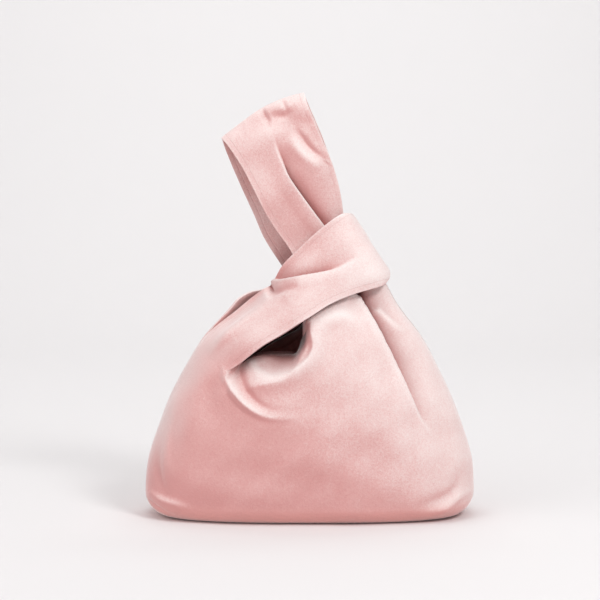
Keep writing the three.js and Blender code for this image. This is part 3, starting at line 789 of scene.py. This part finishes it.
# %% Fold lines of the handles
SHORT_FOLDS = [
    tuck(rise=8, wide=(2.4, 9), strength=(0, 0.35, 0.85, 1, 0.9, 0.6),
         line=((39, 206), (24, 197.5), (10, 193), (-3, 190), (-15, 188), (-28, 186))),
    ridge(rise=-3, wide=(3, 3), strength=(1, 0.8, 0), shade=0.15,
          line=((-29, 179), (-19, 183), (-7, 186))),
    ridge(rise=0.8, wide=(16, 13), strength=(0, 1, 1), shade=-0.55,
          line=((20, 186), (42, 194), (62, 198))),
    ridge(rise=-4, wide=(1.5, 1.5), strength=(1, 1, 0.6), shade=1,
          line=((-32, 192), (-32, 187), (-30, 181.5))),
    ridge(rise=-2, wide=(3.5, 3.5), strength=(0, 1, 1, 0.3), shade=0.16,
          line=((-34, 177), (-44, 169), (-57, 159), (-74, 142))),
    ridge(rise=2.3, wide=(3.5, 5), strength=(0, 1, 1, 0.4),
          line=((-30, 172), (-52, 158), (-75, 134), (-88, 114))),
]
LONG_FOLDS = [
    tuck(rise=10, wide=(2.6, 7.5), strength=(1, 1, 1, 1, 0.8, 0.45, 0.12, 0),
         line=((14, 219), (8, 228.5), (1, 238), (-8.5, 251), (-18.5, 267), (-23.5, 281), (-26.5, 291),
               (-29, 301))),
    ridge(rise=-2.8, wide=(3, 5.5), strength=(0, 0.8, 1, 0.3), shade=0.2,
          line=((-12, 309), (-6, 300), (1, 291), (11, 283))),
    ridge(rise=2, wide=(6, 6), strength=(0, 1, 1, 0), shade=-0.25,
          line=((-16, 302), (-8, 292), (0, 284), (8, 274))),
    ridge(rise=-2.2, wide=(1.8, 4), strength=(1, 0.4), shade=0.25,
          line=((-37, 323), (-32, 313))),
    ridge(rise=-1.8, wide=(3.2, 3.2), strength=(0.5, 1, 0.3), shade=0.1,
          line=((-26, 317.5), (-19, 318), (-12, 321.5))),
    ridge(rise=-1.4, wide=(1.8, 1.8), strength=(1, 0.4),
          line=((-21.5, 331), (-18, 322.5))),
    ridge(rise=-2.6, wide=(9, 8), strength=(0.3, 0.9, 1, 0.6),
          line=((-50, 308), (-35, 314), (-20, 313.5), (-5, 311))),
]

# %% [markdown]
# ## Easing a sheet along its length
# Where two parts of a ribbon meet, the tables leave a slight kink. Drawing each row a little towards
# the middle of its neighbours takes it out, as real cloth would, and leaves the rest alone.

# %% Easing
def eased(points, weight, rounds):
    """Points drawn towards the middle of the rows beside them, each row by its own weight."""
    for _ in range(rounds):
        middle = points.copy()
        middle[1:-1] = (points[:-2] + points[2:]) / 2
        points = points + weight[:, None, None] * (middle - points)
    return points


def around(count, rows, reach):
    """A weight of one at some rows that fades to nothing over a number of rows."""
    row = np.arange(count)
    near = np.min([np.abs(row - r) for r in rows], axis=0)
    return 0.9 * (1 - smooth(near / reach))


# %% [markdown]
# ## The handles
# Each handle is worked out as two halves, from the root to the middle of the turn or of the top
# fold, and joined there. Near its root a handle carries the pouch's folds on, and its own come in
# as those die out. The back half of each handle has no folds of its own, only the waves.

# %% Folds and waves on a handle
SHORT_ACROSS, SHORT_ALONG, SHORT_TURN = 52, 110, 40
LONG_ACROSS, LONG_HIDDEN, LONG_ALONG, LONG_FOLD = 104, 30, 96, 24
ROOT_FADE = 0.03
EASING = dict(short=dict(reach=16, rounds=60), long=dict(reach=14, rounds=50))


def finish_handle(face, points, shares, folds, own):
    """The pouch's folds near the root, then the handle's own ones, and the slow waves of the cloth."""
    outwards = outwards_of(points)
    outwards[0] = edge_outwards(face, shares)
    hold = seam_hold(shares)
    gone = smooth(np.linalg.norm(points - points[:1], axis=-1) / ROOT_FADE)
    near_root, own = (1 - gone) * hold, own * gone
    painted_shade = painted_shade_of(points, FOLDS[face], near_root)
    points = folded(points, outwards, FOLDS[face], near_root)
    painted_shade = painted_shade + painted_shade_of(points, folds, own)
    points = folded(points, outwards, folds, own)
    return points + outwards * (uneven(points) * np.maximum(hold, gone))[..., None], painted_shade


def joined(halves, painted_shades):
    """The front and back halves of a handle as one strip of rows."""
    points = np.concatenate([halves["front"], mirrored(halves["back"])[::-1][1:]])
    return points, np.concatenate([painted_shades["front"], painted_shades["back"][::-1][1:]])


def eased_at(points, name, *rows):
    """A handle eased round the rows where two of its parts meet."""
    return eased(points, around(len(points), rows, EASING[name]["reach"]), EASING[name]["rounds"])


# %% Short handle
def short_handle_points():
    across = np.linspace(0, 1, SHORT_ACROSS + 1)
    turns = np.pi * (0.5 - np.arange(SHORT_TURN + 1) / SHORT_TURN)
    wrap = np.stack([short_wrap(across, turn) for turn in turns])
    ways = [np.full_like(across, k / SHORT_ALONG) for k in range(SHORT_ALONG)]
    front_rows = np.stack([short_half("front", across, at) for at in ways])
    back_rows = mirrored(np.stack([short_half("back", across, at) for at in ways]))[::-1]
    points = np.concatenate([front_rows, wrap, back_rows])
    points = eased_at(points, "short", SHORT_ALONG, SHORT_ALONG + SHORT_TURN)
    middle = SHORT_ALONG + SHORT_TURN // 2
    halves, painted_shades = {}, {}
    for face in ("front", "back"):
        half = points[:middle + 1] if face == "front" else mirrored(points[middle:])[::-1]
        row = np.arange(len(half))[:, None]
        own = 1 - smooth((row - SHORT_ALONG + 4) / (SHORT_TURN / 2))
        folds = SHORT_FOLDS if face == "front" else []
        halves[face], painted_shades[face] = finish_handle(face, half, across * SHORT_ROOT, folds, own)
    return joined(halves, painted_shades)


# %% Long handle
def long_handle_points():
    across = np.linspace(0, 1, LONG_ACROSS + 1)
    halves, painted_shades = {}, {}
    for face in ("front", "back"):
        rows = [long_hidden(face, across, np.full_like(across, k / LONG_HIDDEN)) for k in range(LONG_HIDDEN)]
        ways = list(mix(LONG_FIRST, TOP_FOLD_SHARE, np.arange(LONG_ALONG) / LONG_ALONG))
        angles = np.arange(LONG_FOLD + 1) / LONG_FOLD * math.pi / 2
        ways += list(mix(TOP_FOLD_SHARE, 1, np.sin(angles)))
        rows += [long_strap(face, across, np.full_like(across, at)) for at in ways]
        points = np.stack(rows)
        points = eased_at(points, "long", LONG_HIDDEN, LONG_HIDDEN + LONG_ALONG)
        row = np.arange(len(points))[:, None]
        inside = 1 - smooth((row / LONG_HIDDEN - 0.4) / 0.5)
        points[..., 1] += mouth_roll(mix(LONG_ROOT, 1, across)) * inside
        own = smooth((len(points) - 1 - row) / (LONG_FOLD / 2))
        folds = LONG_FOLDS if face == "front" else []
        halves[face], painted_shades[face] = finish_handle(face, points, mix(LONG_ROOT, 1, across), folds, own)
    return joined(halves, painted_shades)


short_points, short_painted_shade = short_handle_points()
long_points, long_painted_shade = long_handle_points()
print("short handle grid", short_points.shape[:2], "long handle grid", long_points.shape[:2])

# %% [markdown]
# ## Normals shared along the roots
# Where a handle grows out of the pouch there is no seam on the real bag. The two pieces share one
# normal at each point of that line, so the light runs over it without a step. One merged mesh would
# do the same, but then the handle could not be a piece of its own.

# %% Normals of the upper edges
def shared_normals(panel, handle_rows, columns):
    """The mean of the ways out of a panel's upper edge and of the handle that starts there."""
    panel_out = outwards_of(panel[-3:])[-1]
    handle_out = outwards_of(handle_rows)[0]
    both = panel_out.copy()
    both[columns] = unit(panel_out[columns] + handle_out)
    return both


short_columns = slice(0, SHORT_ACROSS + 1)
long_columns = slice(PANEL_ACROSS - LONG_ACROSS, PANEL_ACROSS + 1)
rim = {}
for face in ("front", "back"):
    if face == "front":
        panel, shorts, longs = panels["front"], short_points[:3], long_points[:3]
    else:
        panel = mirrored(panels["back"][:, ::-1])
        shorts, longs = mirrored(short_points[::-1][:3]), mirrored(long_points[::-1][:3])
    out = shared_normals(panel, shorts, short_columns)
    out[long_columns] = shared_normals(panel, longs, long_columns)[long_columns]
    out[[0, -1], 1] = 0
    rim[face] = unit(out)


# %% [markdown]
# ## What the velvet needs to know of its place
# The velvet's colour changes with its place on the cloth: how far the next hem is, how sharply the
# cloth is bent, and how much shade is painted on it in a pleat, a groove or the mouth. These become
# painted highlights on hem edges and crests and painted shade in sinks, pleats, grooves and the mouth.
# The geometry knows all three, so each is worked out here and stored on the corners, and the shader
# only reads them. The map lays the cloth out in metres.

# %% Layout, hems and crests
HEM_FAR = 0.05
CREST_SHARP = 0.0003


def run(points, axis):
    """How far the cloth has run at each corner along one of its two ways, in metres."""
    steps = np.diff(points, axis=axis, prepend=points.take([0], axis=axis))
    return np.cumsum(np.linalg.norm(steps, axis=-1), axis=axis)


def laid_out(points):
    """Where each corner lies on the flat cloth, in metres across and along."""
    across, along = run(points, 1), run(points, 0)
    middle = across - across[:, -1:] / 2
    along = np.broadcast_to(along.mean(axis=1)[:, None], middle.shape)
    return np.stack([middle, along], axis=-1).reshape(-1, 2)


def edge_distance(points, free_columns, free_rows):
    """How far each corner lies from the nearest hem, in metres."""
    far = np.full(points.shape[:2], HEM_FAR)
    if 0 in free_columns:
        across = run(points, 1)
        far = np.minimum(far, np.minimum(across, across[:, -1:] - across))
    columns = np.arange(points.shape[1])
    for row, first, last in free_rows:
        below = np.linalg.norm(points - points[row], axis=-1)
        far = np.where((columns >= first) & (columns <= last), np.minimum(far, below), far)
    return far.reshape(-1)


def crest_of(points):
    """How sharply the cloth stands up (above 0) or sinks (below 0) at each corner, from -1 to 1."""
    outwards, total = outwards_of(points), np.zeros(points.shape[:2])
    for reach in (2, 3):
        spread = np.pad(points, ((reach, reach), (reach, reach), (0, 0)), mode="reflect", reflect_type="odd")
        middle = (
            spread[2 * reach:, reach:-reach] + spread[:-2 * reach, reach:-reach]
            + spread[reach:-reach, 2 * reach:] + spread[reach:-reach, :-2 * reach]) / 4
        total += np.sum((points - middle) * outwards, axis=-1) / (CREST_SHARP * reach)
    for _ in range(3):
        total[1:-1, 1:-1] = (
            total[:-2, 1:-1] + total[2:, 1:-1] + total[1:-1, :-2] + total[1:-1, 2:] + 4 * total[1:-1, 1:-1]) / 8
    total *= smooth((points[..., 2] - 0.012) / 0.02)
    return np.tanh(total).reshape(-1)


# %% [markdown]
# ## From points to cloth with a thickness
# The grid is made by its operator and its corners are carried to their points. Solidify then gives
# the wall, whose inner corners are set along the ways out, so that both sides of a root match. A
# small bevel rounds the free edges, where the real cloth is turned under and sewn.

# %% A grid with its layers
HEM_ROUND = 0.001


def cloth_grid(points, marks):
    """A grid over the points, with a number for each corner's place and a layer for each mark."""
    rows, columns = points.shape[:2]
    bm = bmesh.new()
    bmesh.ops.create_grid(bm, x_segments=columns - 1, y_segments=rows - 1, size=1)
    place = bm.verts.layers.int.new("place")
    bm.verts.layers.int.new("side")
    layers = [(bm.verts.layers.float.new(key), values) for key, values in marks.items()]
    bm.loops.layers.uv.new("cloth")
    bm.verts.ensure_lookup_table()
    for vert, point in zip(bm.verts, points.reshape(-1, 3)):
        vert[place] = vert.index
        vert.co = point
        for layer, values in layers:
            vert[layer] = values[vert.index]
    bm.normal_update()
    return bm


# %% The wall and the hem
def add_wall(bm, points, normals):
    """Thickens a grid inwards, each inner corner straight below its outer one."""
    place, side = bm.verts.layers.int["place"], bm.verts.layers.int["side"]
    uv = bm.loops.layers.uv["cloth"]
    count = len(bm.verts)
    bmesh.ops.solidify(bm, geom=bm.faces[:], thickness=WALL)
    bm.verts.ensure_lookup_table()
    flat, laid = points.reshape(-1, 3), laid_out(points)
    inside = flat - outwards_of(points).reshape(-1, 3) * WALL
    for face in bm.faces:
        for loop in face.loops:
            loop[uv].uv = laid[loop.vert[place]]
    for vert in bm.verts[count:]:
        vert[side] = 1
        vert.co = inside[vert[place]]
        if vert[place] in normals:
            vert.co = Vector(flat[vert[place]]) - normals[vert[place]] * WALL


def round_hems(bm, rows, columns, free_columns, free_rows):
    """Bevels the outer and inner edges along the free columns and rows of the cloth."""
    place, side = bm.verts.layers.int["place"], bm.verts.layers.int["side"]
    hems = []
    for edge in bm.edges:
        a, b = edge.verts
        if a[side] != b[side] or a[place] == b[place]:
            continue
        (row_a, column_a), (row_b, column_b) = divmod(a[place], columns), divmod(b[place], columns)
        left, right = min(column_a, column_b), max(column_a, column_b)
        on_column = left == right and left in free_columns
        if on_column or any(
                row_a == row_b == row % rows and first <= left and right <= last
                for row, first, last in free_rows):
            hems.append(edge)
    bmesh.ops.bevel(
        bm, geom=hems, offset=HEM_ROUND, segments=3, profile=0.5, affect="EDGES",
        clamp_overlap=True, material=-1)


# %% A sheet of cloth
def share_normals(mesh, flat, normals):
    """Gives the corners that lie on a root the normal that both pieces share."""
    finder = kdtree.KDTree(max(1, len(normals)))
    for key in normals:
        finder.insert(Vector(flat[key]), key)
    finder.balance()
    custom = [(0.0, 0.0, 0.0)] * len(mesh.loops)
    for loop in mesh.loops:
        _, key, far = finder.find(mesh.vertices[loop.vertex_index].co)
        if normals and far < 1e-5:
            custom[loop.index] = tuple(normals[key])
    mesh.normals_split_custom_set(custom)


def cloth_mesh(name, points, painted_shade, root_rows, free_columns=(), free_rows=()):
    """A closed sheet of cloth over a grid of points.

    root_rows are pairs of a row and its normals, with None where the row is a free edge, and the
    free columns and rows are the edges that get a round hem.
    """
    rows, columns = points.shape[:2]
    normals = {
        row % rows * columns + k: Vector(outwards[k])
        for row, outwards in root_rows for k in range(columns) if outwards[k] is not None}
    to_edge = edge_distance(points, free_columns, free_rows)
    bm = cloth_grid(points, dict(hem=to_edge, crest=crest_of(points), painted_shade=painted_shade.reshape(-1)))
    add_wall(bm, points, normals)
    round_hems(bm, rows, columns, free_columns, free_rows)
    mesh = bpy.data.meshes.new(name)
    bm.to_mesh(mesh)
    bm.free()
    mesh.shade_smooth()
    share_normals(mesh, points.reshape(-1, 3), normals)
    piece = bpy.data.objects.new(name, mesh)
    bpy.context.collection.objects.link(piece)
    print(name, sum(len(face.vertices) - 2 for face in mesh.polygons), "triangles")
    return piece


# %% [markdown]
# ## The four pieces
# Each piece names its free edges and its roots. A panel is free along the mouth, between the roots
# of the two handles. A handle is free along both long edges and starts and ends on a root.

# %% Making the pieces
def root_normals(face):
    """The normals of a panel's upper edge, with None along the mouth, where it is free."""
    free = range(SHORT_ACROSS + 1, PANEL_ACROSS - LONG_ACROSS)
    return [None if k in free else normal for k, normal in enumerate(rim[face])]


def handle_roots(columns):
    return [(0, rim["front"][columns]), (-1, mirrored(rim["back"][columns]))]


back_rim = [None if n is None else mirrored(n) for n in root_normals("back")][::-1]
mouth = (-1, SHORT_ACROSS, PANEL_ACROSS - LONG_ACROSS)
back_mouth = (-1, LONG_ACROSS, PANEL_ACROSS - SHORT_ACROSS)
front = cloth_mesh("velvet_front", panels["front"], painted_shades["front"], [(-1, root_normals("front"))],
                   free_rows=[mouth])
back = cloth_mesh("velvet_back", panels["back"], painted_shades["back"], [(-1, back_rim)], free_rows=[back_mouth])
short = cloth_mesh("velvet_short_handle", short_points, short_painted_shade, handle_roots(short_columns),
                   free_columns=(0, SHORT_ACROSS))
long = cloth_mesh("velvet_long_handle", long_points, long_painted_shade, handle_roots(long_columns),
                  free_columns=(0, LONG_ACROSS))


# %% [markdown]
# ## Shader maths
# A shader is a formula, and a formula reads best as one. Wire wraps a socket, and each operator adds
# the Math node that it stands for. Colours never go through Math nodes, which would turn them grey,
# but through the Mix node of blend. Placing the nodes one by one would do the same, but nobody
# could find the formula in them.

# %% Shader maths as Python expressions
class Wire:
    """A shader socket that can stand in an expression; each operator adds its Math node."""

    def __init__(self, tree, socket):
        self.tree, self.socket = tree, socket

    def node(self, kind, settings=None, inputs=None, output=0):
        made = self.tree.nodes.new(kind)
        for name, value in (settings or {}).items():
            setattr(made, name, value)
        for name, value in (inputs or {}).items():
            if isinstance(value, Wire):
                self.tree.links.new(value.socket, made.inputs[name])
            else:
                made.inputs[name].default_value = value
        return Wire(self.tree, made.outputs[output])

    def maths(self, operation, *others):
        return self.node("ShaderNodeMath", dict(operation=operation), dict(enumerate((self, *others))))

    def __add__(self, other):
        return self.maths("ADD", other)

    def __sub__(self, other):
        return self.maths("SUBTRACT", other)

    def __rsub__(self, other):
        return self * -1 + other

    def __mul__(self, other):
        return self.maths("MULTIPLY", other)

    def __truediv__(self, other):
        return self.maths("DIVIDE", other)

    __radd__, __rmul__ = __add__, __mul__

    def within(self, low, high):
        """The value's place between low and high, from 0 to 1."""
        return self.node("ShaderNodeMapRange", dict(interpolation_type="SMOOTHSTEP", clamp=True), {
            "Value": self, "From Min": low, "From Max": high})

    def blend(self, low, high):
        """A colour between two, by this value."""
        return self.node("ShaderNodeMix", dict(data_type="RGBA", clamp_factor=True), {
            0: self, 6: low, 7: high}, output=2)


# %% [markdown]
# ## Velvet
# Velvet is a dense short pile, and a brushed bag shows soft clouds of two pinks. Much of the colour
# here is painted light as well: the pinks run from near-black painted shade in the mouth to painted
# highlights, with painted highlights on crests, painted shade in hollows, a greyer painted sheen for
# the left flank and a warmer painted floor bounce close to the floor.

# %% Colours
# Among these pinks are near-black painted shade for the mouth, painted shade for pleats, a painted highlight, a
# painted sheen for the left flank and a painted floor bounce; deep, dusty and pale carry both the pile's own
# tone and painted light.
PAINTED_MOUTH_DARK = (0.06, 0.015, 0.012, 1)
PLEAT_SHADE_PINK = (0.4, 0.11, 0.1, 1)
DEEP_PINK = (0.65, 0.3, 0.285, 1)
DUSTY_PINK = (0.735, 0.425, 0.405, 1)
PALE_PINK = (0.84, 0.66, 0.635, 1)
HIGHLIGHT_PINK = (0.91, 0.81, 0.785, 1)
PAINTED_SHEEN_PINK = (0.75, 0.61, 0.59, 1)
FLOOR_BOUNCE_PINK = (0.8, 0.38, 0.34, 1)
velvet = bpy.data.materials.new("dusty_pink_velvet")
velvet.use_nodes = True
tree = velvet.node_tree
shader = tree.nodes["Principled BSDF"]
start = Wire(tree, None)

# %% [markdown]
# ## What the pile feels
# The shader reads its place on the bag, the way the cloth faces, the map of the flat cloth and the
# three marks on its corners. Noise gives the rest: slow clouds and patches of brushed pile, mottle,
# and the sandy grain of the pile itself, all in object coordinates, and strokes that follow the
# cloth, along which a hand has passed. A picture of velvet would repeat and smear over the folds.

# %% Places and noises
place, normal = (start.node("ShaderNodeTexCoord", output=output) for output in (3, 1))
out_x, out_y, out_z = (
    start.node("ShaderNodeSeparateXYZ", inputs={"Vector": normal}, output=k) for k in range(3))
at_x, at_z = (start.node("ShaderNodeSeparateXYZ", inputs={"Vector": place}, output=k) for k in (0, 2))
hem, crest, painted_shade = (
    start.node("ShaderNodeAttribute", dict(attribute_name=key), output=2)
    for key in ("hem", "crest", "painted_shade"))
streaked = start.node("ShaderNodeMapping", inputs={
    "Vector": start.node("ShaderNodeUVMap", dict(uv_map="cloth")),
    "Rotation": (0, 0, math.radians(12)), "Scale": (140, 30, 1)})


def noise(where, scale, detail=2.0, rough=0.5, warp=0.0):
    """Noise about 0."""
    return start.node("ShaderNodeTexNoise", inputs={
        "Vector": where, "Scale": scale, "Detail": detail, "Roughness": rough, "Distortion": warp}) - 0.5


clouds = noise(place, 20, 3, 0.55, 0.6)
patches = noise(place, 110, 2, 0.5, 0.3)
mottle = noise(place, 420, 2, 0.6)
grain = noise(place, 1050, 2, 0.6)
strokes = noise(streaked, 1, 3, 0.6, 0.3)
print("the velvet starts with", len(tree.nodes), "nodes")

# %% [markdown]
# ## How pale the velvet is
# One number says how pale the velvet looks, and much of it is painted light. It grows where the
# cloth faces the key lamp, up and a little to the right, the same in front and behind, and over the
# upper right of the bag, where that lamp falls. Painted highlights raise it on crests marked by a
# fold, on sharp bends and on the very edge of a hem, and painted shade lowers it a little in sinks.
# Noise adds the pile's own clouds, patches, mottle, grain and strokes.

# %% Paleness and painted light
LAMP_WAY = dict(x=0.42, y=0.35, z=0.84)
HEM_HIGHLIGHT = 0.0022

# Painted light: paler where the cloth faces up and to the right, towards the key lamp, the same in front and
# behind.
facing_lamp = out_x * LAMP_WAY["x"] + out_y.maths("ABSOLUTE") * LAMP_WAY["y"] + out_z * LAMP_WAY["z"]
# Painted light: paler over the upper right of the bag, where the key lamp falls.
lit_upper_right = (at_x + at_z * 1.2 + clouds * 0.06).within(0.055, 0.155)
tone_and_light = facing_lamp.within(-0.35, 0.9) * 0.8 + lit_upper_right * 0.24 - 0.21
tone_and_light = tone_and_light + clouds * 0.07 + patches * 0.08 + mottle * 0.22 + grain * 0.62 + strokes * 0.12
# Painted highlight where a fold's shade is below 0.
tone_and_light = tone_and_light + (painted_shade * -1).maths("MAXIMUM", 0.0) * 0.45
# Painted highlight on crests and painted shade in sinks.
tone_and_light = tone_and_light + (crest.maths("MAXIMUM", 0.0) * 0.16 + crest.maths("MINIMUM", 0.0) * 0.1)
# Painted highlight along the very edge of a hem.
tone_and_light = tone_and_light + (1 - hem.within(0.0, HEM_HIGHLIGHT)) * 0.15

# %% [markdown]
# ## Colour by paleness and by place
# The pinks blend one into the next as the value grows, up to a painted highlight. Over them lie a
# painted sheen on the greyer flank, where the cloth turns away to the left, a warm painted floor
# bounce at the foot, and the painted shade of pleats, grooves and the mouth.

# %% Colour
# These pinks follow the pile's own tone and the painted light in the value alike.
shade = tone_and_light.within(0.0, 0.6).blend(DEEP_PINK, DUSTY_PINK)
pale = tone_and_light.within(0.35, 0.9).blend(shade, PALE_PINK)
# Painted highlight where the value is highest.
painted_highlight = tone_and_light.within(0.75, 1.2).blend(pale, HIGHLIGHT_PINK)
# Painted sheen: a greyer pink on the left flank, where the cloth turns away to the left.
turned_left = (out_x * -1).within(0.3, 0.9) * at_z.within(0.02, 0.08)
left_side = (at_z * 0.55 - at_x).within(0.11, 0.145)
left_sheen = (turned_left * left_side * 0.75).blend(painted_highlight, PAINTED_SHEEN_PINK)
# Painted light bounced off the floor: a warmer pink over the lowest 18 mm of cloth.
foot = ((1 - at_z.within(0.0, 0.018)) * 0.7).blend(left_sheen, FLOOR_BOUNCE_PINK)
# Painted shade in pleats, in grooves and at the mouth.
painted_pleat_shade = (painted_shade.within(0.0, 0.9) * 0.9).blend(foot, PLEAT_SHADE_PINK)
# Near-black painted shade in the mouth.
colour = painted_shade.within(0.45, 0.95).blend(painted_pleat_shade, PAINTED_MOUTH_DARK)

# %% [markdown]
# ## Seam line, relief and sheen
# The turned-under hem is stitched about 4 mm from the edge. The stitching pulls the pile down into a
# thin line, a little deeper in colour. The grain, the mottle and the strokes give a slight relief
# that breaks up highlights. The sheen is what makes the outline of velvet glow. It is constant, so
# that it survives a bake.

# %% Relief and finish
SEAM_AT, SEAM_HALF = 0.0042, 0.0005

groove = 1 - ((hem - SEAM_AT) / SEAM_HALF).maths("ABSOLUTE").within(0.0, 1.6)
height = grain * 0.0003 + mottle * 0.0006 + strokes * 0.0004 - groove * 0.0004
bump = start.node("ShaderNodeBump", inputs={"Strength": 0.5, "Distance": 1.0, "Height": height})
varying = {
    "Base Color": (groove * 0.15).blend(colour, DEEP_PINK), "Roughness": 0.7 - tone_and_light * 0.15, "Normal": bump}
for name, wire in varying.items():
    tree.links.new(wire.socket, shader.inputs[name])
shader.inputs["Specular IOR Level"].default_value = 0.45
shader.inputs["Sheen Weight"].default_value = 1.0
shader.inputs["Sheen Roughness"].default_value = 0.38
shader.inputs["Sheen Tint"].default_value = (1.0, 0.94, 0.93, 1)
print("the velvet has", len(tree.nodes), "nodes")

# %% [markdown]
# ## Fixing the pieces to the frame
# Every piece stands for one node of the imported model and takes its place. The bag has no joints, so
# all four ride on its one body.

# %% Slots and bodies
for piece, node in ((front, "front_panel"), (back, "back_panel"),
                    (short, "short_handle"), (long, "long_handle")):
    piece.data.materials.append(velvet)
    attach(piece, "root")
    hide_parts(node)
    print(piece.name, "replaces", node)


# %% [markdown]
# ## Flat sizes
# A sheet is known by the size it had before it was folded. Both are measured along the cloth: the
# widest row, the longest column, and the area of one side.

# %% Flat sizes of the cloth
def cloth_area(points):
    a, b, c, d = points[:-1, :-1], points[:-1, 1:], points[1:, 1:], points[1:, :-1]
    return 0.5 * float(np.linalg.norm(np.cross(c - a, d - b), axis=-1).sum())


def cloth_size(points):
    return float(run(points, 1)[:, -1].max()), float(run(points, 0)[-1].max())

cloths = ((front, panels["front"]), (back, panels["back"]), (short, short_points), (long, long_points))
for piece, points in cloths:
    width, length = cloth_size(points)
    area = cloth_area(points)
    print(piece.name, "widest", round(width, 3), "longest", round(length, 3), "area", round(area, 4))
